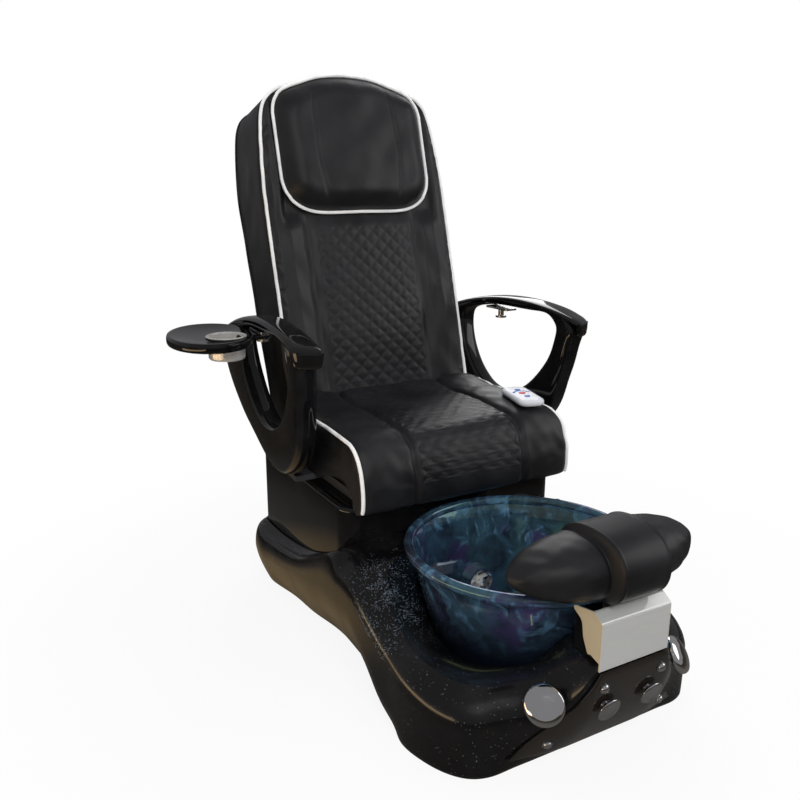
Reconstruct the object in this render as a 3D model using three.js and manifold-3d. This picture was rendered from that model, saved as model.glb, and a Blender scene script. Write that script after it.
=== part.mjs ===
// Pedicure spa chair, in millimetres.
// Frame: origin on the floor in the chair's centre plane, +Z up, the sitter faces -Y,
// and -X is the sitter's right hand, where the tray is.

import * as THREE from 'three';
import { mergeVertices } from 'three/addons/utils/BufferGeometryUtils.js';
import Module from 'manifold-3d';

const wasm = await Module();
wasm.setup();

// ---------------------------------------------------------------- driving dimensions

const SEAT_GAP = 0.3; // between pieces that touch
const RUN_GAP = 1; // between pieces that move past each other

// floor board and fibreglass base
const BOARD_THICKNESS = 12;
const SHELL_WALL = 6;
const BASE_FRONT_Y = -684; // foremost line of the base, at the top of the front panel
const BASE_REAR_Y = 520;
const BASE_HALF_WIDTH = 345;
const BOW_DEPTH = 100; // how far the front is cut back at the floor
const BOW_TOP_Z = 235;
const FRONT_FLAT_HALF = 238; // flat part of the front, under the panel
const NOSE_HALF = 84; // full bow inside this, none beyond the lobes
const NOSE_FADE = 262;
const REAR_FLAT_HALF = 200;
const FRONT_CORNER_Y = -410;
const REAR_CORNER_Y = 380;
const REAR_UNDERCUT = 36;

// bowl
const BOWL_Y = -350;
const BOWL_RIM_Z = 345;
const BOWL_RIM_RADIUS = 262;
const BOWL_WALL = 6;
const BOWL_FLOOR_Z = 92;
const BOWL_FOOT_RADIUS = 150;
const BOWL_SIDES = 40;
const DRAIN_RADIUS = 24;

// seat plinth
const PLINTH_HALF_WIDTH = 300;
const PLINTH_FRONT_Y = -82;
const PLINTH_REAR_Y = 452;
const PLINTH_TOP_Z = 372;
const PLINTH_WALL = 8;
const PLINTH_FLANGE = 104; // at the sides
const PLINTH_END_FLANGE = 40; // at the front and rear
const PLINTH_CORNER = 46;
const PLINTH_TUCK = 54; // drawn in at the floor, inside the undercut of the base
const PLINTH_TUCK_Z = 110;

// slide rails and seat frame
const RAIL_X = 236;
const RAIL_WIDTH = 34;
const RAIL_HEIGHT = 12;
const RAIL_LENGTH = 500;
const FRAME_HALF_WIDTH = 262;
const FRAME_THICKNESS = 14;
const FRAME_FRONT_Y = -78;
const FRAME_REAR_Y = 316;

// seat cushion
const SEAT_HALF_WIDTH = 284;
const SEAT_TOP_Z = 548;
const SEAT_REAR_Y = 274;
const SEAT_SKIRT_Z = 378; // lower edge of the rolled front

// back
const RECLINE_Y = 372;
const RECLINE_Z = 436;
const BACK_TILT = 16; // degrees from upright
const BACK_HALF_WIDTH = 270;
const BACK_TOP = 922; // along the back, from the pivot
const BACK_BOTTOM = -6;
const CUSHION_FACE = -112; // piping line, forward of the pivot line
const CUSHION_BACK = -34;
const SHELL_THICKNESS = 6;

// armrests
const ARM_THICKNESS = 54;
const ARM_X = 372; // middle of the arm at y = 0
const ARM_SPLAY = 3.5; // degrees, toes out to the front
const PAD_FRONT_Y = -88;
const PAD_REAR_Y = 482;

// tray and cup
const TRAY_Y = 246;
const TRAY_HALF_X = 102;
const TRAY_HALF_Y = 140;
const TRAY_TURN = 10; // degrees, rear end towards the chair
const TRAY_THICKNESS = 18;
const CUP_RADIUS = 43;
const CUP_DEPTH = 56;

// footrest
const BRACKET_HALF_WIDTH = 86;
const BRACKET_TOP_Z = 331;
const FOOT_HALF_WIDTH = 222;

// panel fittings
const BUTTON_RADIUS = 26;
const KNOB_RADIUS = 39;

// ---------------------------------------------------------------- helpers

const RAD = Math.PI / 180;
const point = (x, y, z) => new THREE.Vector3(x, y, z);
const lerp = THREE.MathUtils.lerp;

/** Value at t in a table of [t, value] pairs, eased between entries. */
function along(table, t) {
  if (t <= table[0][0]) return table[0][1];
  for (let i = 1; i < table.length; i += 1) {
    const [t1, v1] = table[i];
    if (t > t1) continue;
    const [t0, v0] = table[i - 1];
    const s = (t - t0) / (t1 - t0);
    return lerp(v0, v1, s * s * (3 - 2 * s));
  }
  return table[table.length - 1][1];
}

/** Six times the volume of an indexed geometry; negative when it is inside out. */
function signedVolume(positions, index) {
  const a = new THREE.Vector3();
  const b = new THREE.Vector3();
  const c = new THREE.Vector3();
  let sum = 0;
  for (let i = 0; i < index.length; i += 3) {
    a.fromArray(positions, index[i] * 3);
    b.fromArray(positions, index[i + 1] * 3);
    c.fromArray(positions, index[i + 2] * 3);
    sum += a.dot(b.clone().cross(c));
  }
  return sum;
}

function indexedGeometry(positions, index) {
  if (signedVolume(positions, index) < 0) {
    for (let i = 0; i < index.length; i += 3) {
      [index[i + 1], index[i + 2]] = [index[i + 2], index[i + 1]];
    }
  }
  const geometry = new THREE.BufferGeometry();
  geometry.setAttribute('position', new THREE.Float32BufferAttribute(positions, 3));
  geometry.setIndex(index);
  return geometry;
}

/** Triangles of a cap made as a fan about a hub added in the middle of the ring. */
function fanCap(ring, base, positions) {
  const centre = new THREE.Vector3();
  ring.forEach((p) => centre.addScaledVector(p, 1 / ring.length));
  const hub = positions.length / 3;
  positions.push(...centre.toArray());
  return ring.map((_, i) => [base + i, base + (i + 1) % ring.length, hub]);
}

/** Triangles of a cap made of strips across a ring whose second half mirrors its first. */
function stripCap(ring, base) {
  const faces = [];
  for (let i = 0; i + 1 < ring.length / 2; i += 1) {
    const a = base + i;
    const b = base + ring.length - 1 - i;
    faces.push([a, a + 1, b], [a + 1, b - 1, b]);
  }
  return faces;
}

/** Triangles of a cap on a ring that is flat in x and may be hollowed in its outline. */
function flatCap(ring, base) {
  const flat = ring.map((p) => new THREE.Vector2(p.y, p.z));
  const turn = Math.sign(THREE.ShapeUtils.area(flat));
  return THREE.ShapeUtils.triangulateShape(flat, []).map(([a, b, c]) => {
    const same = Math.sign(THREE.ShapeUtils.area([flat[a], flat[b], flat[c]])) === turn;
    return same ? [base + a, base + b, base + c] : [base + a, base + c, base + b];
  });
}

/** Closed skin through a row of closed rings, capped at both ends. */
function loft(rings, cap = fanCap) {
  const count = rings[0].length;
  const positions = rings.flat().flatMap((p) => p.toArray());
  const index = [];
  for (let r = 0; r + 1 < rings.length; r += 1) {
    for (let i = 0; i < count; i += 1) {
      const j = (i + 1) % count;
      const a = r * count + i;
      const b = r * count + j;
      index.push(a, b, a + count, b, b + count, a + count);
    }
  }
  cap(rings[0], 0, positions).forEach(([a, b, c]) => index.push(b, a, c));
  const last = rings.length - 1;
  cap(rings[last], last * count, positions).forEach((face) => index.push(...face));
  return indexedGeometry(positions, index);
}

/** Closed skin of a section carried once round a closed path, with a hole in the middle. */
function hoop(sections) {
  const count = sections[0].length;
  const total = sections.length;
  const positions = sections.flat().flatMap((p) => p.toArray());
  const index = [];
  for (let s = 0; s < total; s += 1) {
    const t = (s + 1) % total;
    for (let i = 0; i < count; i += 1) {
      const j = (i + 1) % count;
      const a = s * count + i;
      const b = s * count + j;
      const c = t * count + i;
      const d = t * count + j;
      index.push(a, b, c, b, d, c);
    }
  }
  return indexedGeometry(positions, index);
}

/** Flat outline of [a, b] pairs with straight or rounded corners, as a THREE.Shape. */
function outline(points, holes = []) {
  const shape = new THREE.Shape(points.map(([a, b]) => new THREE.Vector2(a, b)));
  holes.forEach((hole) => {
    shape.holes.push(new THREE.Path(hole.map(([a, b]) => new THREE.Vector2(a, b))));
  });
  return shape;
}

/** Corner points rounded by arcs: each corner is [a, b, radius]. */
function rounded(corners, steps = 4) {
  const points = [];
  corners.forEach(([a, b, radius], i) => {
    if (!radius) {
      points.push([a, b]);
      return;
    }
    const here = new THREE.Vector2(a, b);
    const before = corners[(i + corners.length - 1) % corners.length];
    const after = corners[(i + 1) % corners.length];
    const toBefore = new THREE.Vector2(before[0], before[1]).sub(here).normalize();
    const toAfter = new THREE.Vector2(after[0], after[1]).sub(here).normalize();
    const half = Math.acos(THREE.MathUtils.clamp(toBefore.dot(toAfter), -1, 1)) / 2;
    const reach = radius / Math.tan(half);
    const start = here.clone().addScaledVector(toBefore, reach);
    const end = here.clone().addScaledVector(toAfter, reach);
    const bisector = toBefore.clone().add(toAfter).normalize();
    const centre = here.clone().addScaledVector(bisector, radius / Math.sin(half));
    const from = Math.atan2(start.y - centre.y, start.x - centre.x);
    let turn = Math.atan2(end.y - centre.y, end.x - centre.x) - from;
    if (turn > Math.PI) turn -= 2 * Math.PI;
    if (turn < -Math.PI) turn += 2 * Math.PI;
    for (let k = 0; k <= steps; k += 1) {
      const angle = from + (turn * k) / steps;
      points.push([centre.x + radius * Math.cos(angle), centre.y + radius * Math.sin(angle)]);
    }
  });
  return points;
}

const rectangle = (a0, b0, a1, b1, radius = 0) => rounded([
  [a0, b0, radius],
  [a1, b0, radius],
  [a1, b1, radius],
  [a0, b1, radius],
]);

/** Regular polygon of [a, b] points. */
function disc(a, b, radius, sides = 24) {
  return Array.from({ length: sides }, (_, i) => {
    const angle = (2 * Math.PI * (i + 0.5)) / sides;
    return [a + radius * Math.cos(angle), b + radius * Math.sin(angle)];
  });
}

/** Slab of an (x, y) outline between two heights. */
function slab(points, z0, z1, holes = []) {
  const geometry = new THREE.ExtrudeGeometry(outline(points, holes), {
    depth: z1 - z0,
    bevelEnabled: false,
  });
  return geometry.translate(0, 0, z0);
}

/** Slab of a (y, z) outline between two values of x. */
function sideSlab(points, x0, x1, holes = []) {
  const geometry = new THREE.ExtrudeGeometry(outline(points, holes), {
    depth: x1 - x0,
    bevelEnabled: false,
  });
  const basis = new THREE.Matrix4().makeBasis(point(0, 1, 0), point(0, 0, 1), point(1, 0, 0));
  return geometry.applyMatrix4(basis).translate(x0, 0, 0);
}

/** Slab of an (x, z) outline between two values of y. */
function frontSlab(points, y0, y1) {
  const geometry = new THREE.ExtrudeGeometry(outline(points), {
    depth: y1 - y0,
    bevelEnabled: false,
  });
  const basis = new THREE.Matrix4().makeBasis(point(1, 0, 0), point(0, 0, 1), point(0, -1, 0));
  return geometry.applyMatrix4(basis).translate(0, y1, 0);
}

/** Solid of revolution about +Z from [radius, z] pairs that start and end on the axis or close. */
function turned(profile, sides = 16) {
  const points = profile.map(([r, z]) => new THREE.Vector2(r, z));
  return new THREE.LatheGeometry(points, sides).rotateX(Math.PI / 2);
}

/** Cylinder about +Z from z0 to z1. */
const rod = (radius, z0, z1, sides = 16) => turned([[0, z0], [radius, z0], [radius, z1], [0, z1]], sides);

/** Cylinder between two points. */
function bar(from, to, radius, sides = 12) {
  const axis = to.clone().sub(from);
  const turn = new THREE.Quaternion().setFromUnitVectors(point(0, 0, 1), axis.clone().normalize());
  return rod(radius, 0, axis.length(), sides)
    .applyQuaternion(turn)
    .translate(from.x, from.y, from.z);
}

function toSolid(geometry) {
  const bare = geometry.clone();
  bare.deleteAttribute('normal');
  bare.deleteAttribute('uv');
  const merged = mergeVertices(bare, 1e-4);
  return new wasm.Manifold(new wasm.Mesh({
    numProp: 3,
    vertProperties: new Float32Array(merged.attributes.position.array),
    triVerts: new Uint32Array(merged.index.array),
  }));
}

function toGeometry(solid) {
  const { vertProperties, triVerts } = solid.getMesh();
  const geometry = new THREE.BufferGeometry();
  geometry.setAttribute('position', new THREE.Float32BufferAttribute(vertProperties, 3));
  geometry.setIndex(Array.from(triVerts));
  return geometry;
}

/** First geometry with the others joined on. */
const join = (...parts) => toGeometry(parts.map(toSolid).reduce((a, b) => a.add(b)));

/** First geometry with the others cut away. */
const cut = (body, ...tools) => toGeometry(tools.map(toSolid).reduce((a, b) => a.subtract(b), toSolid(body)));

const FINISH = {
  gelcoat: [0x0b0b0d, 0.12, 0.0],
  leather: [0x161618, 0.5, 0.0],
  chrome: [0xd8dadd, 0.06, 1.0],
  brushed: [0xb9b6b0, 0.35, 1.0],
  steel: [0x3a3c40, 0.45, 0.8],
  plastic: [0x111113, 0.3, 0.0],
  glass: [0x24495c, 0.08, 0.1],
  pale: [0xd4d6d9, 0.35, 0.0],
  plywood: [0x9b7a52, 0.7, 0.0],
  white: [0xd9d9d4, 0.5, 0.0],
  red: [0xc2323a, 0.4, 0.0],
  blue: [0x3a4fa0, 0.4, 0.0],
};

const chair = new THREE.Group();
chair.name = 'pedicure_spa_chair';

function add(name, geometry, finish, parent = chair) {
  const [color, roughness, metalness] = FINISH[finish];
  const mesh = new THREE.Mesh(geometry, new THREE.MeshStandardMaterial({ color, roughness, metalness }));
  mesh.name = name;
  parent.add(mesh);
  return mesh;
}

const SIDES = [['right', -1], ['left', 1]];

// ---------------------------------------------------------------- base shell and floor board

// half width of the base at the floor, and height of its widest line, by y
const FLOOR_HALF = [[-600, -3], [-410, -3], [-330, -24], [-170, -77], [0, -84], [200, -59], [380, -34]];
const WIDEST_Z = [[-410, 40], [-330, 70], [-250, 130], [-170, 185], [-60, 185], [120, 150], [360, 112]];

/** Front of the base at (x, z): a nose that is foremost at the top of the panel. */
function bowY(x, z, inset = 0) {
  const below = Math.max(0, BOW_TOP_Z - z) / BOW_TOP_Z;
  const reach = BOW_DEPTH * (1 - below * below);
  const nose = 1 - THREE.MathUtils.smoothstep(Math.abs(x), NOSE_HALF, NOSE_FADE);
  return BASE_FRONT_Y + BOW_DEPTH - reach * nose + inset;
}

/** Half width of the base at y and height z. */
function sideX(y, z, inset = 0) {
  const widest = along(WIDEST_Z, y);
  const rise = Math.min(1, z / widest);
  const floorX = BASE_HALF_WIDTH + along(FLOOR_HALF, y);
  return lerp(floorX, BASE_HALF_WIDTH, Math.sin((rise * Math.PI) / 2)) - inset;
}

function rearY(z, inset = 0) {
  const rise = Math.min(1, z / along(WIDEST_Z, REAR_CORNER_Y));
  return BASE_REAR_Y - REAR_UNDERCUT * (1 - Math.sin((rise * Math.PI) / 2)) - inset;
}

/** Point on the left half of the base's outline, for one station and height. */
function basePoint(station, z, inset = 0) {
  const { zone, at } = station;
  if (zone === 'front') return point(at, bowY(at, z, inset), z);
  if (zone === 'side') return point(sideX(at, z, inset), at, z);
  if (zone === 'rear') return point(at, rearY(z, inset), z);
  const angle = at * RAD;
  if (zone === 'frontCorner') {
    const x = FRONT_FLAT_HALF + (sideX(FRONT_CORNER_Y, z, inset) - FRONT_FLAT_HALF) * Math.sin(angle);
    const floorY = BASE_FRONT_Y + BOW_DEPTH + inset;
    const bow = floorY - bowY(x, z, inset);
    return point(x, FRONT_CORNER_Y - (FRONT_CORNER_Y - floorY) * Math.cos(angle) - bow, z);
  }
  const reachX = sideX(REAR_CORNER_Y, z, inset) - REAR_FLAT_HALF;
  const reachY = rearY(z, inset) - REAR_CORNER_Y;
  return point(
    REAR_FLAT_HALF + reachX * Math.cos(angle),
    REAR_CORNER_Y + reachY * Math.sin(angle),
    z,
  );
}

/** Outside radius of the bowl at height z, under its rim. */
function bowlRadius(z) {
  const rise = THREE.MathUtils.clamp((z - BOWL_FLOOR_Z) / (BOWL_RIM_Z - BOWL_FLOOR_Z), 0, 1);
  return lerp(BOWL_FOOT_RADIUS + 34, BOWL_RIM_RADIUS - 12, rise ** 0.85);
}

// Stations from the middle of the front to the middle of the rear. Each holds its place on the
// outline, the height where the side starts to turn in, the crest height, the height of the
// inner edge, and where that edge runs: round the bowl (an angle from the front) or at a point.
const BOWL_EDGE_GAP = 3;
const PLINTH_EDGE_GAP = 2;
const edgeX = PLINTH_HALF_WIDTH + PLINTH_EDGE_GAP;
const edgeFrontY = PLINTH_FRONT_Y - PLINTH_EDGE_GAP;
const edgeRearY = PLINTH_REAR_Y + PLINTH_EDGE_GAP;

/** Point of the inner edge round a corner of the plinth: 0 faces front or rear, 90 faces the side. */
function roundPlinth(end, degrees, out = 0) {
  const reach = PLINTH_CORNER + PLINTH_EDGE_GAP + out;
  const x = PLINTH_HALF_WIDTH - PLINTH_CORNER + reach * Math.sin(degrees * RAD);
  const away = reach * Math.cos(degrees * RAD);
  const y = end === 'front' ? PLINTH_FRONT_Y + PLINTH_CORNER - away : PLINTH_REAR_Y - PLINTH_CORNER + away;
  return [x, y];
}

const STATIONS = [
  { zone: 'front', at: 0, turn: 240, crest: 250, inner: 248, bowl: 0 },
  { zone: 'front', at: 86, turn: 236, crest: 250, inner: 246, bowl: 16 },
  { zone: 'front', at: 120, turn: 178, crest: 218, inner: 206, bowl: 25, share: 0.6 },
  { zone: 'front', at: 160, turn: 122, crest: 192, inner: 174, bowl: 34, share: 0.7 },
  { zone: 'front', at: 200, turn: 104, crest: 182, inner: 160, bowl: 42, share: 0.7 },
  { zone: 'front', at: FRONT_FLAT_HALF, turn: 100, crest: 177, inner: 152, bowl: 50, share: 0.65 },
  { zone: 'frontCorner', at: 24, turn: 100, crest: 174, inner: 148, bowl: 58, share: 0.6 },
  { zone: 'frontCorner', at: 46, turn: 106, crest: 174, inner: 148, bowl: 66, share: 0.55 },
  { zone: 'frontCorner', at: 68, turn: 114, crest: 176, inner: 149, bowl: 76, share: 0.5 },
  { zone: 'side', at: FRONT_CORNER_Y, turn: 126, crest: 181, inner: 153, bowl: 87 },
  { zone: 'side', at: -365, turn: 140, crest: 194, inner: 166, bowl: 97 },
  { zone: 'side', at: -310, turn: 158, crest: 216, inner: 190, bowl: 108 },
  { zone: 'side', at: -255, turn: 184, crest: 244, inner: 224, bowl: 119 },
  { zone: 'side', at: -205, turn: 206, crest: 270, inner: 258, bowl: 131 },
  { zone: 'side', at: -160, turn: 214, crest: 286, inner: 284, bowl: 143 },
  { zone: 'side', at: -125, turn: 212, crest: 290, inner: 292, edge: [150, edgeFrontY] },
  { zone: 'side', at: -98, turn: 208, crest: 286, inner: 290, edge: roundPlinth('front', 0) },
  { zone: 'side', at: -72, turn: 202, crest: 276, inner: 278, edge: roundPlinth('front', 45, 6) },
  { zone: 'side', at: -32, turn: 192, crest: 256, inner: 256, edge: roundPlinth('front', 90) },
  { zone: 'side', at: 60, turn: 158, crest: 206, inner: 214, edge: [edgeX, 60] },
  { zone: 'side', at: 150, turn: 130, crest: 174, inner: 188, edge: [edgeX, 150] },
  { zone: 'side', at: 250, turn: 108, crest: 156, inner: 172, edge: [edgeX, 250] },
  { zone: 'side', at: 330, turn: 98, crest: 148, inner: 166, edge: [edgeX, 330] },
  { zone: 'rearCorner', at: 0, turn: 94, crest: 146, inner: 165, edge: roundPlinth('rear', 90) },
  { zone: 'rearCorner', at: 24, turn: 94, crest: 146, inner: 165, edge: roundPlinth('rear', 60, 2) },
  { zone: 'rearCorner', at: 45, turn: 94, crest: 146, inner: 165, edge: roundPlinth('rear', 30, 2) },
  { zone: 'rearCorner', at: 67, turn: 94, crest: 146, inner: 165, edge: roundPlinth('rear', 0) },
  { zone: 'rear', at: REAR_FLAT_HALF, turn: 94, crest: 146, inner: 165, edge: [200, edgeRearY] },
  { zone: 'rear', at: 0, turn: 94, crest: 146, inner: 165, edge: [0, edgeRearY] },
];

const SHELL_LIFT = 1; // bottom edge of the shell above the floor
const SIDE_LEVELS = [0, 0.2, 0.4, 0.6, 0.8, 1];
const INNER_LEVELS = [1, 0.7, 0.4, 0.15];

function innerEdge(station) {
  if (station.edge) return point(station.edge[0], station.edge[1], station.inner);
  const radius = bowlRadius(station.inner) + BOWL_EDGE_GAP;
  const angle = station.bowl * RAD;
  return point(radius * Math.sin(angle), BOWL_Y - radius * Math.cos(angle), station.inner);
}

const CREST_SHARE = 0.45; // where the crest lies between the shoulder and the inner edge

/** Highest point of the shell at one station. */
function crestPoint(station) {
  const shoulder = basePoint(station, station.turn);
  return shoulder.lerp(innerEdge(station), station.share ?? CREST_SHARE).setZ(station.crest);
}

/** Closed section of the shell wall at one station: up outside, over the crest, down inside. */
function shellSection(station) {
  const outer = SIDE_LEVELS.map((s) => basePoint(station, lerp(SHELL_LIFT, station.turn, s)));
  const shoulder = outer[outer.length - 1];
  const edge = innerEdge(station);
  const crest = crestPoint(station);
  const round = [30, 60].map((degrees) => point(
    lerp(shoulder.x, crest.x, 1 - Math.cos(degrees * RAD)),
    lerp(shoulder.y, crest.y, 1 - Math.cos(degrees * RAD)),
    lerp(shoulder.z, crest.z, Math.sin(degrees * RAD)),
  ));
  const under = [
    edge.clone().setZ(edge.z - SHELL_WALL),
    crest.clone().setZ(Math.min(crest.z, edge.z + 8) - SHELL_WALL),
  ];
  const inner = INNER_LEVELS.map((s) => {
    return basePoint(station, lerp(SHELL_LIFT, station.turn, s), SHELL_WALL);
  });
  const foot = basePoint(station, SHELL_LIFT, SHELL_WALL);
  return [...outer, ...round, crest, edge, ...under, ...inner, foot];
}

const mirrorX = (section) => section.map((p) => point(-p.x, p.y, p.z));

function baseShell() {
  const half = STATIONS.map(shellSection);
  const other = half.slice(1, -1).reverse().map(mirrorX);
  return hoop([...half, ...other]);
}

function floorBoard() {
  const inset = SHELL_WALL + 2;
  const half = STATIONS.map((station) => basePoint(station, SHELL_LIFT, inset));
  const other = half.slice(1, -1).reverse().map((p) => point(-p.x, p.y, p.z));
  return slab([...half, ...other].map((p) => [p.x, p.y]), 0, BOARD_THICKNESS);
}

add('floor_board', floorBoard(), 'plywood');

// ---------------------------------------------------------------- bowl, drain and jet

const STAND_TOP_Z = BOWL_FLOOR_Z - BOWL_WALL - SEAT_GAP;

/** Glass bowl: outer wall up, rolled rim, inner wall down, with a drain hole in its floor. */
function bowl() {
  const low = BOWL_FLOOR_Z - BOWL_WALL;
  const outside = [0.12, 0.3, 0.5, 0.7, 0.88].map((s) => {
    const z = lerp(BOWL_FLOOR_Z, BOWL_RIM_Z, s);
    return [bowlRadius(z), z];
  });
  const inside = [0.9, 0.6, 0.3, 0.12].map((s) => {
    const z = lerp(BOWL_FLOOR_Z, BOWL_RIM_Z, s);
    return [bowlRadius(z) - BOWL_WALL, z];
  });
  const rim = [
    [BOWL_RIM_RADIUS - 3, BOWL_RIM_Z - 24],
    [BOWL_RIM_RADIUS, BOWL_RIM_Z - 14],
    [BOWL_RIM_RADIUS - 3, BOWL_RIM_Z - 4],
    [BOWL_RIM_RADIUS - 12, BOWL_RIM_Z],
    [BOWL_RIM_RADIUS - 22, BOWL_RIM_Z - 5],
  ];
  const profile = [
    [DRAIN_RADIUS, low],
    [BOWL_FOOT_RADIUS, low],
    [BOWL_FOOT_RADIUS + 24, low + 10],
    ...outside,
    ...rim,
    ...inside,
    [BOWL_FOOT_RADIUS + 8, BOWL_FLOOR_Z + 4],
    [BOWL_FOOT_RADIUS - 20, BOWL_FLOOR_Z],
    [DRAIN_RADIUS, BOWL_FLOOR_Z],
    [DRAIN_RADIUS, low],
  ];
  return turned(profile, BOWL_SIDES).translate(0, BOWL_Y, 0);
}

/** Moulded ring between the floor board and the bowl's flat foot, open at the back for the pipe. */
function bowlStand() {
  const ring = turned([
    [BOWL_FOOT_RADIUS - 40, BOARD_THICKNESS + SEAT_GAP],
    [BOWL_FOOT_RADIUS, BOARD_THICKNESS + SEAT_GAP],
    [BOWL_FOOT_RADIUS - 8, STAND_TOP_Z],
    [BOWL_FOOT_RADIUS - 28, STAND_TOP_Z],
    [BOWL_FOOT_RADIUS - 40, BOARD_THICKNESS + SEAT_GAP],
  ], BOWL_SIDES);
  const gate = slab(rectangle(-24, 0, 24, BOWL_FOOT_RADIUS + 20), 0, STAND_TOP_Z - 14);
  return cut(ring, gate).translate(0, BOWL_Y, 0);
}

const DRAIN_PIPE_Z = 46;
const DRAIN_PIPE_RADIUS = 16;
const DRAIN_FLANGE = 10;
const DRAIN_BODY_LOW = DRAIN_PIPE_Z - DRAIN_PIPE_RADIUS - 4;

/** Flanged drain cup: its flange lies in the bowl, its body hangs through the hole. */
function drainBody() {
  const through = DRAIN_RADIUS - RUN_GAP;
  const flangeZ = BOWL_FLOOR_Z + SEAT_GAP;
  const cup = turned([
    [0, DRAIN_BODY_LOW],
    [through, DRAIN_BODY_LOW],
    [through, flangeZ],
    [DRAIN_RADIUS + DRAIN_FLANGE, flangeZ],
    [DRAIN_RADIUS + DRAIN_FLANGE, flangeZ + 3],
    [through - 4, flangeZ + 3],
    [through - 4, DRAIN_BODY_LOW + 6],
    [0, DRAIN_BODY_LOW + 6],
  ]);
  return cup.translate(0, BOWL_Y, 0);
}

const PUMP_Y = 60;

function drainPipe() {
  const start = BOWL_Y + DRAIN_RADIUS - RUN_GAP + SEAT_GAP;
  const end = PUMP_Y - 60 - SEAT_GAP;
  return bar(point(0, start, DRAIN_PIPE_Z), point(0, end, DRAIN_PIPE_Z), DRAIN_PIPE_RADIUS, 16);
}

function drainPump() {
  const low = BOARD_THICKNESS + SEAT_GAP;
  const volute = slab(rectangle(-60, PUMP_Y - 60, 60, PUMP_Y + 60, 24), low, low + 70);
  const motor = rod(38, low + 69, low + 168).translate(0, PUMP_Y, 0);
  return join(volute, motor);
}

function drainPlug() {
  const top = BOWL_FLOOR_Z + SEAT_GAP + 3 + SEAT_GAP;
  const plug = turned([
    [0, top - 26],
    [4, top - 26],
    [4, top],
    [DRAIN_RADIUS + 2, top],
    [DRAIN_RADIUS, top + 4],
    [0, top + 7],
  ]);
  return plug.translate(0, BOWL_Y, 0);
}

// whirlpool jet in the rear wall of the bowl
const JET_Z = 172;
const JET_RADIUS = 36;
const JET_DEPTH = 34;
const JET_STUB = 15;
const jetReach = bowlRadius(JET_Z - JET_RADIUS) - BOWL_WALL - 2;
const jetY = BOWL_Y + Math.sqrt(jetReach ** 2 - JET_RADIUS ** 2);

/** Open cup facing the bowl, with a spindle inside and a stub through the glass. */
function jetHousing() {
  const profile = [
    [0, -46],
    [JET_STUB, -46],
    [JET_STUB, 0],
    [JET_RADIUS, 0],
    [JET_RADIUS, JET_DEPTH],
    [JET_RADIUS - 5, JET_DEPTH],
    [JET_RADIUS - 5, 4],
    [3, 4],
    [3, 24],
    [0, 24],
  ];
  return turned(profile).rotateX(Math.PI / 2).translate(0, jetY, JET_Z);
}

const jetHole = () => rod(JET_STUB + SEAT_GAP, -60, 10).rotateX(Math.PI / 2).translate(0, jetY, JET_Z);

function jetImpeller() {
  const bore = 3 + SEAT_GAP;
  const hub = turned([[bore, 6], [9, 6], [9, 26], [bore, 26], [bore, 6]], 12);
  const blades = [0, 1, 2, 3].map((k) => {
    return slab(rectangle(7, -1.5, JET_RADIUS - 8, 1.5), 8, 20).rotateZ((k * Math.PI) / 2 + 0.2);
  });
  return join(hub, ...blades).rotateX(Math.PI / 2).translate(0, jetY, JET_Z);
}

add('bowl', cut(bowl(), jetHole()), 'glass');
add('bowl_stand', bowlStand(), 'plastic');
add('drain_body', drainBody(), 'chrome');
add('drain_plug', drainPlug(), 'chrome');
add('drain_pipe', drainPipe(), 'white');
add('drain_pump', drainPump(), 'plastic');
add('jet_housing', jetHousing(), 'chrome');
add('jet_impeller', jetImpeller(), 'white');

// ---------------------------------------------------------------- front panel and its fittings

const PANEL_THICKNESS = 5;
const PANEL_STANDOFF = 2.8; // clears the flat facets of the shell behind it
const PANEL_LOW_Z = 30;
const PANEL_HIGH_Z = BOW_TOP_Z - 2;
const PANEL_TOP_HALF = 82;
const PANEL_LOW_HALF = 214;
const PANEL_ROWS = 7;
const PANEL_COLUMNS = 12;

/** Outer face of the panel at (x, z). */
const panelY = (x, z) => bowY(x, z) - PANEL_THICKNESS - PANEL_STANDOFF;

/** Closed plate between two grids of points with the same rows and columns. */
function sheet(front, back) {
  const rows = front.length;
  const columns = front[0].length;
  const positions = [...front.flat(), ...back.flat()].flatMap((p) => p.toArray());
  const half = rows * columns;
  const index = [];
  const quad = (a, b, c, d) => index.push(a, b, c, a, c, d);
  for (let r = 0; r + 1 < rows; r += 1) {
    for (let k = 0; k + 1 < columns; k += 1) {
      const a = r * columns + k;
      quad(a, a + 1, a + 1 + columns, a + columns);
      quad(half + a, half + a + columns, half + a + 1 + columns, half + a + 1);
    }
  }
  for (let k = 0; k + 1 < columns; k += 1) {
    const top = (rows - 1) * columns + k;
    quad(k + 1, k, half + k, half + k + 1);
    quad(top, top + 1, half + top + 1, half + top);
  }
  for (let r = 0; r + 1 < rows; r += 1) {
    const left = r * columns;
    const right = left + columns - 1;
    quad(left, left + columns, half + left + columns, half + left);
    quad(right + columns, right, half + right, half + right + columns);
  }
  return indexedGeometry(positions, index);
}

const panelHalf = (z) => {
  const rise = (z - PANEL_LOW_Z) / (PANEL_HIGH_Z - PANEL_LOW_Z);
  return lerp(PANEL_LOW_HALF, PANEL_TOP_HALF, rise ** 0.85);
};

/** Panel plate that follows the nose, wider at its foot. */
function frontPanel() {
  const grid = (depth) => Array.from({ length: PANEL_ROWS + 1 }, (_, r) => {
    const z = lerp(PANEL_LOW_Z, PANEL_HIGH_Z, r / PANEL_ROWS);
    return Array.from({ length: PANEL_COLUMNS + 1 }, (__, k) => {
      const x = panelHalf(z) * ((2 * k) / PANEL_COLUMNS - 1);
      return point(x, panelY(x, z) + depth, z);
    });
  });
  return sheet(grid(0), grid(PANEL_THICKNESS));
}

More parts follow.
